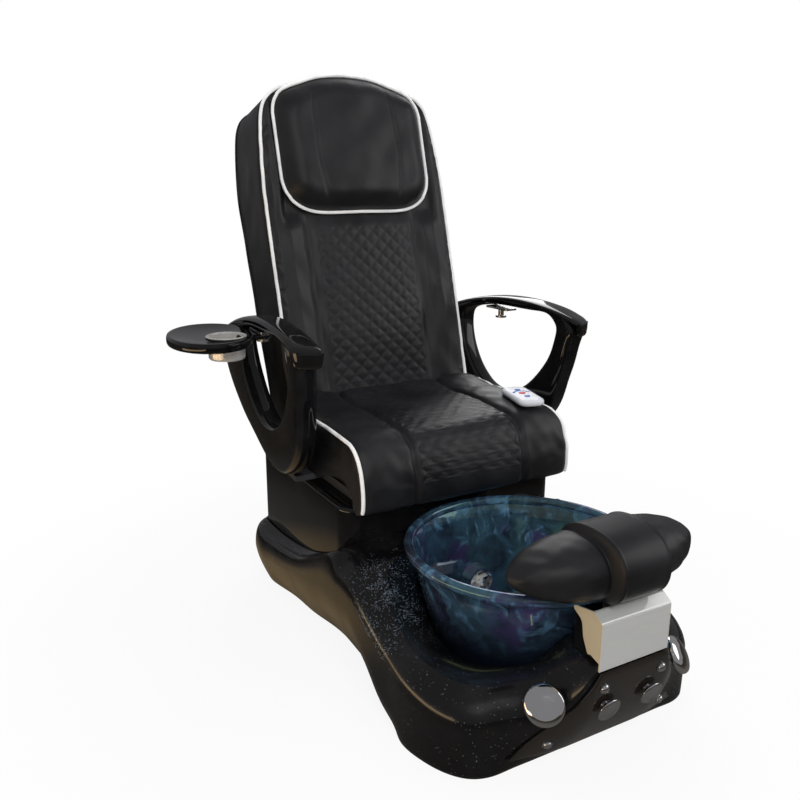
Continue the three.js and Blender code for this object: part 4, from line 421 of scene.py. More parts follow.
def thickened(piece):
    """Gives an open shell its wall, on the inside."""
    wall = piece.modifiers.new("wall", "SOLIDIFY")
    wall.thickness = SHELL_WALL
    wall.offset = -1


def node_heights(node):
    """Lowest and highest point of a carried-over node, in millimetres."""
    low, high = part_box(node)
    return low.z / MM, high.z / MM


def turned(profile, sides=64):
    """Surface of revolution about +Z: each (r, z) of the profile is carried round a full turn."""
    profile = np.asarray(profile, float)
    angle = np.linspace(0, 2 * math.pi, sides, endpoint=False)[:, None]
    return np.stack([
        profile[None, :, 0] * np.cos(angle),
        profile[None, :, 0] * np.sin(angle),
        np.broadcast_to(profile[None, :, 1], (sides, len(profile))),
    ], -1)


def softened(profile, radius, steps=5):
    """Profile with its inner corners rounded: a quadratic curve replaces the last `radius` of each side."""
    p = np.asarray(profile, float)
    out = [p[0]]
    for before, here, after in zip(p[:-2], p[1:-1], p[2:]):
        a, b = before - here, after - here
        la, lb = np.linalg.norm(a), np.linalg.norm(b)
        ra, rb = min(radius, la * 0.45), min(radius, lb * 0.45)
        start, end = here + a / la * ra, here + b / lb * rb
        for s in np.linspace(0, 1, steps):
            out.append((1 - s) ** 2 * start + 2 * s * (1 - s) * here + s * s * end)
    out.append(p[-1])
    return np.array(out)


def facing(out):
    """Rotation that carries +Z onto a direction."""
    z = np.asarray(out, float) / np.linalg.norm(out)
    side = np.cross((0, 0, 1), z)
    size = np.linalg.norm(side)
    x = side / size if size > 1e-6 else np.array([1.0, 0, 0])
    return np.column_stack([x, np.cross(z, x), z])


def placed(grid, out, place):
    """Grid turned from +Z to a direction and moved to a place."""
    return grid @ facing(out).T + np.asarray(place, float)


def tube(path, radius, sides=10, closed=False, up=(0, 0, 1)):
    """Round tube: at each point of the path, circle of n*cos + b*sin with n and b square to the tangent."""
    path = np.asarray(path, float)
    if closed:
        tangent = np.roll(path, -1, 0) - np.roll(path, 1, 0)
    else:
        tangent = np.gradient(path, axis=0)
    tangent /= np.linalg.norm(tangent, axis=1, keepdims=True)
    n = np.cross(tangent, up)
    n /= np.maximum(np.linalg.norm(n, axis=1, keepdims=True), 1e-9)
    b = np.cross(tangent, n)
    angle = np.linspace(0, 2 * math.pi, sides, endpoint=False)[None, :, None]
    return path[:, None] + radius * (n[:, None] * np.cos(angle) + b[:, None] * np.sin(angle))


def rounded_ring(half_x, front, rear, corner, steps=8):
    """Rounded rectangle in (x, y): quarter arcs of the corner radius joined by straight sides."""
    quarter = np.linspace(0, math.pi / 2, steps)
    centres = [(half_x - corner, rear - corner), (-half_x + corner, rear - corner),
               (-half_x + corner, front + corner), (half_x - corner, front + corner)]
    parts = []
    for k, (cx, cy) in enumerate(centres):
        angle = quarter + k * math.pi / 2
        parts.append(np.stack([cx + corner * np.cos(angle), cy + corner * np.sin(angle)], -1))
    return np.vstack(parts)


def at_height(ring, z):
    """Ring of (x, y) lifted to a height."""
    return np.column_stack([ring, np.full(len(ring), z)])


def perimeter(grid):
    """Edge of a grid as one closed loop."""
    return np.concatenate([grid[:-1, 0], grid[-1, :-1], grid[:0:-1, -1], grid[0, :0:-1]])


def divided(ring, longest=30.0):
    """Ring with its long sides divided, so that no step is longer than given."""
    out = []
    for a, b in zip(ring, np.roll(ring, -1, 0)):
        count = max(1, int(np.linalg.norm(b - a) // longest))
        out += [a + (b - a) * k / count for k in range(count)]
    return np.array(out)


# ---------------------------------------------------------------- base shell formulas

# zone, place on the outline, shoulder height, crest height, inner edge height, crest's share, inner edge
STATIONS = [
    ("front", 0, 240, 250, 248, None, 0),
    ("front", 86, 236, 250, 246, None, 16),
    ("front", 120, 178, 218, 206, 0.6, 25),
    ("front", 160, 122, 192, 174, 0.7, 34),
    ("front", 200, 104, 182, 160, 0.7, 42),
    ("front", FRONT_FLAT, 100, 177, 152, 0.65, 50),
    ("front corner", 24, 100, 174, 148, 0.6, 58),
    ("front corner", 46, 106, 174, 148, 0.55, 66),
    ("front corner", 68, 114, 176, 149, 0.5, 76),
    ("side", FRONT_CORNER, 126, 181, 153, None, 87),
    ("side", -365, 140, 194, 166, None, 97),
    ("side", -310, 158, 216, 190, None, 108),
    ("side", -255, 184, 244, 224, None, 119),
    ("side", -205, 206, 270, 258, None, 131),
    ("side", -160, 214, 286, 284, None, 143),
    ("side", -125, 212, 290, 292, None, (150, -84)),
    ("side", -98, 208, 286, 290, None, (254, -84)),
    ("side", -72, 202, 276, 278, None, (292.2, -74.2)),
    ("side", -32, 192, 256, 256, None, (302, -36)),
    ("side", 60, 158, 206, 214, None, (302, 60)),
    ("side", 150, 130, 174, 188, None, (302, 150)),
    ("side", 250, 108, 156, 172, None, (302, 250)),
    ("side", 330, 98, 148, 166, None, (302, 330)),
    ("rear corner", 0, 94, 146, 165, None, (302, 406)),
    ("rear corner", 24, 94, 146, 165, None, (297.3, 431)),
    ("rear corner", 45, 94, 146, 165, None, (279, 449.3)),
    ("rear corner", 67, 94, 146, 165, None, (254, 454)),
    ("rear", REAR_FLAT, 94, 146, 165, None, (200, 454)),
    ("rear", 0, 94, 146, 165, None, (0, 454)),
]
KNOB_STATION = STATIONS[3]


def bow_y(x, z):
    """Front of the base: the nose's reach is BOW_DEPTH*(1-below^2), faded out beyond the lobes."""
    below = np.maximum(0, BOW_TOP - np.asarray(z, float)) / BOW_TOP
    nose = 1 - smoothstep(np.abs(x), NOSE_HALF, NOSE_FADE)
    return BASE_FRONT + BOW_DEPTH - BOW_DEPTH * (1 - below ** 2) * nose


def side_x(y, z):
    """Half width of the base: a quarter sine from the floor line out to the widest line."""
    rise = np.minimum(1, np.asarray(z, float) / eased(WIDEST_Z, y))
    floor = BASE_HALF + eased(FLOOR_HALF, y)
    return floor + (BASE_HALF - floor) * np.sin(rise * math.pi / 2)


def rear_y(z):
    """Rear of the base, undercut towards the floor by the same quarter sine."""
    rise = np.minimum(1, np.asarray(z, float) / eased(WIDEST_Z, REAR_CORNER))
    return BASE_REAR - REAR_UNDERCUT * (1 - np.sin(rise * math.pi / 2))


def base_points(station, z):
    """Points on the outline of the base's left half at one station, for an array of heights."""
    zone, at = station[:2]
    z = np.asarray(z, float)
    if zone == "front":
        return np.stack([np.full_like(z, at), bow_y(at, z), z], -1)
    if zone == "side":
        return np.stack([side_x(at, z), np.full_like(z, at), z], -1)
    if zone == "rear":
        return np.stack([np.full_like(z, at), rear_y(z), z], -1)
    angle = math.radians(at)
    if zone == "front corner":
        x = FRONT_FLAT + (side_x(FRONT_CORNER, z) - FRONT_FLAT) * math.sin(angle)
        floor = BASE_FRONT + BOW_DEPTH
        y = FRONT_CORNER - (FRONT_CORNER - floor) * math.cos(angle) - (floor - bow_y(x, z))
        return np.stack([x, y, z], -1)
    x = REAR_FLAT + (side_x(REAR_CORNER, z) - REAR_FLAT) * math.cos(angle)
    y = REAR_CORNER + (rear_y(z) - REAR_CORNER) * math.sin(angle)
    return np.stack([x, y, z], -1)


def bowl_radius(z):
    """Outside radius of the bowl under its rim."""
    rise = np.clip((np.asarray(z, float) - BOWL_FLOOR_Z) / (BOWL_RIM_Z - BOWL_FLOOR_Z), 0, 1)
    low = BOWL_FOOT + BOWL_HEEL
    return low + (BOWL_RIM_RADIUS - BOWL_RIM_ROLL[1] - low) * rise ** 0.85


def inner_edge(station):
    """Where the shell ends inside: round the bowl by an angle, or at a point beside the plinth."""
    inner, edge = station[4], station[6]
    if isinstance(edge, tuple):
        return np.array([edge[0], edge[1], inner], float)
    radius = float(bowl_radius(inner)) + BOWL_GAP
    angle = math.radians(edge)
    return np.array([radius * math.sin(angle), BOWL_Y - radius * math.cos(angle), inner])


def base_corners(station):
    """Shoulder, crest and inner edge of the shell at one station."""
    shoulder = base_points(station, np.array([station[2]], float))[0]
    edge = inner_edge(station)
    share = station[5] or CREST_SHARE
    crest = shoulder + (edge - shoulder) * share
    crest[2] = station[3]
    return shoulder, crest, edge


def base_section(station):
    """Outside of the shell at one station: the side, a quarter ellipse to the crest, a fall to the edge
    as s*s, then a short turned-down lip."""
    shoulder, crest, edge = base_corners(station)
    side = base_points(station, np.linspace(1, station[2], 16))
    turn = np.linspace(0, math.pi / 2, 11)[1:, None]
    flat, high = 1 - np.cos(turn), np.sin(turn)
    quarter = np.hstack([shoulder[:2] + (crest[:2] - shoulder[:2]) * flat,
                         shoulder[2] + (crest[2] - shoulder[2]) * high])
    s = np.linspace(0, 1, 8)[1:, None]
    fall = np.hstack([crest[:2] + (edge[:2] - crest[:2]) * s, crest[2] + (edge[2] - crest[2]) * s * s])
    lip = edge + np.array([[0, 0, -5], [0, 0, -14]])
    return np.vstack([side, quarter, fall, lip])


def lobe_point(degrees):
    """Point on the turn between the side and the crest at the knobs' station."""
    shoulder, crest, _ = base_corners(KNOB_STATION)
    turn = math.radians(degrees)
    flat, high = 1 - math.cos(turn), math.sin(turn)
    place = shoulder + (crest - shoulder) * flat
    place[2] = shoulder[2] + (crest[2] - shoulder[2]) * high
    return place


def mirrored(half):
    """Left half stations and their mirror images, as one closed loop of stations."""
    other = half[1:-1][::-1] * np.array([-1, 1, 1])
    return np.concatenate([half, other])


# ---------------------------------------------------------------- finishes


def add_node(tree, kind, inputs=None, **fields):
    """New node with its fields set and its inputs set or linked."""
    node = tree.nodes.new(kind)
    for key, value in fields.items():
        setattr(node, key, value)
    for key, value in (inputs or {}).items():
        if isinstance(value, bpy.types.NodeSocket):
            tree.links.new(value, node.inputs[key])
        else:
            node.inputs[key].default_value = value
    return node


def make_group(name, inputs, outputs, fill):
    """Shader node group with named sockets; fill(tree, inputs) returns {output: socket}."""
    if name in bpy.data.node_groups:
        return bpy.data.node_groups[name]
    tree = bpy.data.node_groups.new(name, "ShaderNodeTree")
    for label, kind, default in inputs:
        socket = tree.interface.new_socket(name=label, in_out="INPUT", socket_type=kind)
        if default is not None:
            socket.default_value = default
    for label, kind in outputs:
        tree.interface.new_socket(name=label, in_out="OUTPUT", socket_type=kind)
    source = tree.nodes.new("NodeGroupInput")
    sink = tree.nodes.new("NodeGroupOutput")
    for label, socket in fill(tree, source.outputs).items():
        tree.links.new(socket, sink.inputs[label])
    return tree


def math_node(tree, operation, a, b=0.0):
    """Output of a Math node."""
    node = add_node(tree, "ShaderNodeMath", operation=operation)
    for socket, value in zip(node.inputs, (a, b)):
        if isinstance(value, bpy.types.NodeSocket):
            tree.links.new(value, socket)
        else:
            socket.default_value = value
    return node.outputs[0]


def ramp(tree, value, low, high, to_low=0.0, to_high=1.0):
    """Value mapped from one range to another and clamped, eased."""
    node = add_node(tree, "ShaderNodeMapRange", {
        "Value": value, "From Min": low, "From Max": high, "To Min": to_low, "To Max": to_high,
    }, interpolation_type="SMOOTHSTEP")
    return node.outputs["Result"]


def noise(tree, vector, scale, detail=3.0, rough=0.55):
    """Noise texture's value."""
    node = add_node(tree, "ShaderNodeTexNoise", {
        "Vector": vector, "Scale": scale, "Detail": detail, "Roughness": rough,
    })
    return node.outputs["Fac"]


def leather_relief():
    """Pebbled grain with fine creases: heights of a cell pattern, and an uneven tone."""
    def fill(tree, given):
        cells = add_node(tree, "ShaderNodeTexVoronoi", {
            "Vector": given["Vector"], "Scale": given["Pebbles"], "Randomness": 1.0,
        }, feature="DISTANCE_TO_EDGE")
        pebble = ramp(tree, cells.outputs["Distance"], 0.0, 0.22)
        crease = noise(tree, given["Vector"], 34.0, 5.0, 0.6)
        height = math_node(tree, "ADD", math_node(tree, "MULTIPLY", pebble, 0.5), crease)
        tone = ramp(tree, noise(tree, given["Vector"], 7.0, 3.0), 0.3, 0.7)
        return {"Height": height, "Tone": tone}
    return make_group(
        "leather relief",
        [("Vector", "NodeSocketVector", None), ("Pebbles", "NodeSocketFloat", 420.0)],
        [("Height", "NodeSocketFloat"), ("Tone", "NodeSocketFloat")], fill)


def handling_marks():
    """Faint smears left by hands and cloths: broad noise, as a mask."""
    def fill(tree, given):
        broad = noise(tree, given["Vector"], given["Scale"], 4.0, 0.6)
        return {"Mask": ramp(tree, broad, 0.42, 0.72)}
    return make_group(
        "handling marks",
        [("Vector", "NodeSocketVector", None), ("Scale", "NodeSocketFloat", 9.0)],
        [("Mask", "NodeSocketFloat")], fill)


def glitter():
    """Small flakes set in the gelcoat: cells whose random colour is high, as a mask and a brightness."""
    def fill(tree, given):
        cells = add_node(tree, "ShaderNodeTexVoronoi", {"Vector": given["Vector"], "Scale": given["Scale"]})
        parts = add_node(tree, "ShaderNodeSeparateColor", {"Color": cells.outputs["Color"]})
        least = math_node(tree, "SUBTRACT", 1.0, given["Share"])
        chosen = math_node(tree, "GREATER_THAN", parts.outputs["Red"], least)
        middle = math_node(tree, "LESS_THAN", cells.outputs["Distance"], 0.34)
        mask = math_node(tree, "MULTIPLY", chosen, middle)
        return {"Mask": mask, "Shine": parts.outputs["Green"]}
    return make_group(
        "glitter",
        [("Vector", "NodeSocketVector", None), ("Scale", "NodeSocketFloat", 700.0),
         ("Share", "NodeSocketFloat", 0.05)],
        [("Mask", "NodeSocketFloat"), ("Shine", "NodeSocketFloat")], fill)


def new_material(name, base, roughness, metallic=0.0, **sockets):
    """Principled material; sockets are plain values set on the shader itself."""
    material = bpy.data.materials.new(name)
    material.use_nodes = True
    tree = material.node_tree
    shader = tree.nodes["Principled BSDF"]
    shader.inputs["Base Color"].default_value = (*base, 1.0)
    shader.inputs["Roughness"].default_value = roughness
    shader.inputs["Metallic"].default_value = metallic
    for key, value in sockets.items():
        shader.inputs[key.replace("_", " ")].default_value = value
    place = tree.nodes.new("ShaderNodeTexCoord")
    return material, tree, shader, place.outputs["Object"]


def mixed(tree, factor, a, b):
    """Colour mixed between two colours or sockets."""
    node = tree.nodes.new("ShaderNodeMix")
    node.data_type = "RGBA"
    sockets = [node.inputs["Factor"]] + [s for s in node.inputs if s.type == "RGBA"]
    for socket, value in zip(sockets, (factor, a, b)):
        if isinstance(value, bpy.types.NodeSocket):
            tree.links.new(value, socket)
        elif socket.type == "RGBA":
            socket.default_value = (*value[:3], 1.0)
        else:
            socket.default_value = value
    return next(s for s in node.outputs if s.type == "RGBA")


def bumped(tree, shader, height, distance, strength=1.0):
    """Feeds a height into the shader's normal."""
    node = add_node(tree, "ShaderNodeBump", {"Height": height, "Distance": distance, "Strength": strength})
    tree.links.new(node.outputs["Normal"], shader.inputs["Normal"])


def leather_finish(colours):
    """Semi-gloss black upholstery leather with pebbled grain and an uneven polish."""
    material, tree, shader, place = new_material(
        "black leather", colours.leather, 0.4, Coat_Weight=0.10, Coat_Roughness=0.3)
    relief = add_node(tree, "ShaderNodeGroup", node_tree=leather_relief())
    tree.links.new(place, relief.inputs["Vector"])
    relief.inputs["Pebbles"].default_value = 420.0
    tone = relief.outputs["Tone"]
    base = tuple(colours.leather)
    worn = tuple(c * 1.6 + 0.002 for c in base)
    tree.links.new(mixed(tree, tone, base, worn), shader.inputs["Base Color"])
    tree.links.new(ramp(tree, tone, 0.0, 1.0, 0.34, 0.46), shader.inputs["Roughness"])
    bumped(tree, shader, relief.outputs["Height"], 0.0004, 0.55)
    return material


def piping_finish(colours):
    """Pale leather cord with a fine grain and a little soiling."""
    material, tree, shader, place = new_material("pale piping", colours.piping, 0.5)
    soil = ramp(tree, noise(tree, place, 22.0, 4.0), 0.35, 0.75)
    base = tuple(colours.piping)
    tree.links.new(mixed(tree, soil, base, tuple(c * 0.82 for c in base)), shader.inputs["Base Color"])
    bumped(tree, shader, noise(tree, place, 500.0), 0.0002, 0.4)
    return material


# flakes, in metres and shares of all cells: the plain share, and a painted highlight streak on the near side
# of the base, where denser glowing flakes stand in for a reflection
FLAKE_SHARE = 0.012
HIGHLIGHT_STREAK_SHARE = 0.5
HIGHLIGHT_STREAK_PLACE = (-0.33, -0.25, 0.24)
HIGHLIGHT_STREAK_REACH = 0.09
HIGHLIGHT_STREAK_FALL = 0.2
HIGHLIGHT_STREAK_LEAN = 0.62


def gelcoat_finish(colours, name="black gelcoat", rough_range=(0.07, 0.13), flaked=False):
    """Polished black gelcoat; when flaked, its glitter glows a little, a painted glint, and thickens along a
    painted highlight streak on the near side.
    """
    material, tree, shader, place = new_material(
        name, colours.gelcoat, 0.09, Coat_Weight=0.35, Coat_Roughness=0.05, Specular_IOR_Level=0.35)
    marks = add_node(tree, "ShaderNodeGroup", node_tree=handling_marks())
    tree.links.new(place, marks.inputs["Vector"])
    base = tuple(colours.gelcoat)
    colour = mixed(tree, marks.outputs["Mask"], base, tuple(c * 1.5 + 0.003 for c in base))
    rough = ramp(tree, marks.outputs["Mask"], 0.0, 1.0, *rough_range)
    if flaked:
        sparkle = add_node(tree, "ShaderNodeGroup", node_tree=glitter())
        tree.links.new(place, sparkle.inputs["Vector"])
        # painted highlight: more flakes along a streak where the shell would reflect the light
        tree.links.new(highlight_streak_share(tree, place), sparkle.inputs["Share"])
        mask = math_node(tree, "MULTIPLY", sparkle.outputs["Mask"], sparkle.outputs["Shine"])
        colour = mixed(tree, mask, colour, tuple(colours.flake))
        tree.links.new(ramp(tree, mask, 0.0, 1.0, 0.0, 0.8), shader.inputs["Metallic"])
        # painted glint: the flakes also glow in their own colour, an emission that stands in for their
        # sparkle
        glow = mixed(tree, mask, (0, 0, 0), tuple(colours.flake))
        tree.links.new(glow, shader.inputs["Emission Color"])
        shader.inputs["Emission Strength"].default_value = 0.55
    tree.links.new(colour, shader.inputs["Base Color"])
    tree.links.new(rough, shader.inputs["Roughness"])
    bumped(tree, shader, noise(tree, place, 5.0, 2.0), 0.0004, 0.15)
    return material


def highlight_streak_share(tree, place):
    """Share of flakes: the plain share, plus more near the painted highlight streak's centre line, uneven by
    noise.
    """
    x, y, z = HIGHLIGHT_STREAK_PLACE
    parts = add_node(tree, "ShaderNodeSeparateXYZ", {"Vector": place})
    from_x = math_node(tree, "ABSOLUTE", math_node(tree, "ADD", parts.outputs["X"], -x))
    above = math_node(tree, "SUBTRACT", parts.outputs["Z"], z)
    centre = math_node(tree, "ADD", math_node(tree, "MULTIPLY", above, HIGHLIGHT_STREAK_LEAN), y)
    off = math_node(tree, "ABSOLUTE", math_node(tree, "SUBTRACT", parts.outputs["Y"], centre))
    near = ramp(tree, off, HIGHLIGHT_STREAK_REACH, 0.0)
    high = ramp(tree, parts.outputs["Z"], z - HIGHLIGHT_STREAK_FALL, z + 0.02)
    side = ramp(tree, from_x, 0.16, 0.05)
    patchy = ramp(tree, noise(tree, place, 26.0, 4.0, 0.7), 0.38, 0.62)
    product = math_node(tree, "MULTIPLY", math_node(tree, "MULTIPLY", near, high), side)
    product = math_node(tree, "MULTIPLY", product, patchy)
    return math_node(tree, "ADD", math_node(tree, "MULTIPLY", product, HIGHLIGHT_STREAK_SHARE), FLAKE_SHARE)


def metal_finish(name, base, roughness, brushed, scale, metallic=1.0):
    """Metal whose roughness runs in strokes: noise on coordinates stretched along the polish."""
    material, tree, shader, place = new_material(name, base, roughness, metallic)
    stretch = add_node(tree, "ShaderNodeMapping", {"Vector": place, "Scale": brushed})
    strokes = noise(tree, stretch.outputs["Vector"], scale, 5.0, 0.65)
    rough = ramp(tree, strokes, 0.25, 0.75, roughness * 0.75, roughness * 1.35)
    tree.links.new(rough, shader.inputs["Roughness"])
    bright = tuple(min(1.0, c * 1.06) for c in base)
    tree.links.new(mixed(tree, strokes, tuple(c * 0.94 for c in base), bright), shader.inputs["Base Color"])
    bumped(tree, shader, strokes, 0.00005, 0.3)
    return material


def bracket_finish():
    """Bright chrome front with champagne cheeks, told apart by the distance from the middle plane; the
    cheeks' champagne tint is a painted warm reflection of the floor.
    """
    material = metal_finish("bracket chrome", (0.62, 0.62, 0.60), 0.12, (1, 1, 8), 30.0)
    tree = material.node_tree
    shader = tree.nodes["Principled BSDF"]
    place = tree.nodes.new("ShaderNodeTexCoord").outputs["Object"]
    across = add_node(tree, "ShaderNodeSeparateXYZ", {"Vector": place}).outputs["X"]
    cheek = ramp(tree, math_node(tree, "ABSOLUTE", across), 0.0850, 0.0856)
    cloud = ramp(tree, noise(tree, place, 8.0, 2.0), 0.3, 0.7)
    # painted reflection: the cheeks are tinted champagne gold, standing in for the warm floor mirrored in
    # them
    painted_warm_reflection = mixed(tree, cloud, (0.60, 0.50, 0.33), (0.50, 0.40, 0.26))
    plain = shader.inputs["Base Color"].links[0].from_socket
    tree.links.new(mixed(tree, cheek, plain, painted_warm_reflection), shader.inputs["Base Color"])
    rough = shader.inputs["Roughness"].links[0].from_socket
    front = math_node(tree, "MULTIPLY", rough, math_node(tree, "SUBTRACT", 1.0, cheek))
    matt = math_node(tree, "MULTIPLY", cheek, 0.4)
    tree.links.new(math_node(tree, "ADD", front, matt), shader.inputs["Roughness"])
    tree.links.new(ramp(tree, cheek, 0.0, 1.0, 0.35, 0.15), shader.inputs["Metallic"])
    return material


def plastic_finish(name, base, roughness, grain=300.0, relief=0.00008, coat=0.0):
    """Moulded plastic with a fine spark-eroded grain and slight unevenness of tone."""
    material, tree, shader, place = new_material(name, base, roughness, Coat_Weight=coat, Coat_Roughness=0.08)
    tone = ramp(tree, noise(tree, place, 6.0, 3.0), 0.3, 0.7)
    tree.links.new(mixed(tree, tone, base, tuple(c * 0.88 for c in base)), shader.inputs["Base Color"])
    tree.links.new(ramp(tree, tone, 0.0, 1.0, roughness * 0.9, roughness * 1.15), shader.inputs["Roughness"])
    bumped(tree, shader, noise(tree, place, grain, 2.0), relief, 0.5)
    return material


def bowl_finish(colours):
    """Translucent resin bowl: swirls of teal, violet and smoke under a clear, thin-film gloss."""
    material, tree, shader, place = new_material(
        "swirled bowl", colours.bowl, 0.05, Transmission_Weight=0.6, IOR=1.45, Coat_Weight=1.0,
        Coat_Roughness=0.02, Thin_Film_Thickness=420.0, Thin_Film_IOR=1.6)
    bend = add_node(tree, "ShaderNodeTexNoise", {"Vector": place, "Scale": 4.5, "Detail": 3.0})
    pushed = add_node(tree, "ShaderNodeVectorMath", {0: place, 1: bend.outputs["Color"]}, operation="ADD")
    swirl = noise(tree, pushed.outputs[0], 7.0, 6.0, 0.62)
    veins = ramp(tree, noise(tree, pushed.outputs[0], 13.0, 5.0, 0.7), 0.52, 0.66)
    smoke = mixed(tree, ramp(tree, swirl, 0.36, 0.62), (0.03, 0.04, 0.07), tuple(colours.bowl))
    violet = mixed(tree, ramp(tree, noise(tree, place, 9.0, 3.0), 0.54, 0.70), smoke, (0.11, 0.08, 0.26))
    bright = mixed(tree, math_node(tree, "MULTIPLY", veins, 0.8), violet, (0.20, 0.46, 0.72))
    # painted shade: the swirls darken to near black towards the bottom and the left side
    parts = add_node(tree, "ShaderNodeSeparateXYZ", {"Vector": place})
    high = ramp(tree, parts.outputs["Z"], 0.16, 0.33)
    lit = math_node(tree, "MAXIMUM", high, ramp(tree, parts.outputs["X"], -0.16, 0.1))
    shade = mixed(tree, lit, (0.012, 0.018, 0.035), bright)
    tree.links.new(shade, shader.inputs["Base Color"])
    bumped(tree, shader, swirl, 0.003, 0.35)
    return material


def board_finish():
    """Plain plywood: long grain from noise stretched along X."""
    material, tree, shader, place = new_material("plywood", (0.5, 0.38, 0.25), 0.7)
    stretch = add_node(tree, "ShaderNodeMapping", {"Vector": place, "Scale": (2.0, 30.0, 30.0)})
    grain = noise(tree, stretch.outputs["Vector"], 4.0, 6.0)
    tree.links.new(mixed(tree, grain, (0.56, 0.43, 0.28), (0.36, 0.25, 0.15)), shader.inputs["Base Color"])
    bumped(tree, shader, grain, 0.0003, 0.5)
    return material


FINISHES = {}


def finishes():
    """All finishes by name, made once from the scene's colours."""
    if not FINISHES:
        colours = bpy.context.scene.spa_chair_colours
        FINISHES.update({
            "leather": leather_finish(colours),
            "piping": piping_finish(colours),
            "base": gelcoat_finish(colours, "flaked gelcoat", (0.2, 0.28), flaked=True),
            "gelcoat": gelcoat_finish(colours),
            "mirror": metal_finish("mirror chrome", (0.88, 0.87, 0.86), 0.035, (1, 1, 1), 12.0),
            "bracket": bracket_finish(),
            "chrome": metal_finish("chrome", (0.84, 0.84, 0.85), 0.06, (1, 1, 1), 25.0),
            "brushed": metal_finish("brushed steel", (0.74, 0.72, 0.69), 0.3, (1, 1, 14), 40.0, metallic=0.6),
            "steel": metal_finish("bright steel", (0.62, 0.61, 0.6), 0.24, (1, 12, 1), 40.0),
            "frame": plastic_finish("powder coat", (0.045, 0.045, 0.05), 0.45, 500.0, 0.0001),
            "moulding": plastic_finish("satin moulding", (0.05, 0.05, 0.055), 0.42),
            "panel": plastic_finish("panel plastic", (0.014, 0.011, 0.009), 0.14, 40.0, 0.0001, 1.0),
            "white": plastic_finish("white plastic", (0.8, 0.8, 0.78), 0.4),
            "remote": plastic_finish("remote plastic", (0.70, 0.72, 0.76), 0.28),
            "red": plastic_finish("red key", (0.62, 0.05, 0.09), 0.35),
            "blue": plastic_finish("blue key", (0.07, 0.16, 0.55), 0.35),
            "bowl": bowl_finish(colours),
            "board": board_finish(),
        })
    return FINISHES


def refinish(node, finish):
    """Gives a carried-over node its finish."""
    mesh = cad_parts[node].data
    mesh.materials.clear()
    mesh.materials.append(finish)


# ---------------------------------------------------------------- stage


def standing(axes, place):
    """Matrix of an object whose axes are the given columns, at a place."""
    matrix = Matrix.Identity(4)
    for row in range(3):
        for column in range(3):
            matrix[row][column] = axes[row][column]
        matrix[row][3] = place[row]
    return matrix


def camera_matrix():
    """Camera axes from yaw, pitch and roll: back = (sin a cos e, -cos a cos e, sin e)."""
    yaw, pitch, roll = (math.radians(v) for v in (CAMERA_YAW, CAMERA_PITCH, CAMERA_ROLL))
    back = np.array([math.sin(yaw) * math.cos(pitch), -math.cos(yaw) * math.cos(pitch), math.sin(pitch)])
    right = np.array([math.cos(yaw), math.sin(yaw), 0.0])
    up = np.cross(back, right)
    across = math.cos(roll) * right + math.sin(roll) * up
    above = -math.sin(roll) * right + math.cos(roll) * up
    return standing(np.column_stack([across, above, back]), CAMERA_PLACE)


def soft_light(name, place, aim, size, power, colour=(1, 1, 1), mirrored_in_gloss=True):
    """Rectangular area light that faces a point; it may be left out of glossy reflections."""
    lamp = bpy.data.lights.new(name, "AREA")
    lamp.shape = "RECTANGLE"
    lamp.size, lamp.size_y = size
    lamp.energy = power
    lamp.color = colour
    holder = bpy.data.objects.new(name, lamp)
    holder.matrix_world = standing(facing(np.subtract(place, aim)), place)
    holder.visible_glossy = mirrored_in_gloss
    bpy.context.scene.collection.objects.link(holder)


def seen_directly(tree):
    """1 for camera, glossy and transmission rays: camera and transmission rays see the pale backdrop, glossy
    rays the floor's painted reflection colour.
    """
    path = tree.nodes.new("ShaderNodeLightPath")
    seen = math_node(tree, "MAXIMUM", path.outputs["Is Camera Ray"], path.outputs["Is Transmission Ray"])
    return math_node(tree, "MAXIMUM", seen, path.outputs["Is Glossy Ray"])


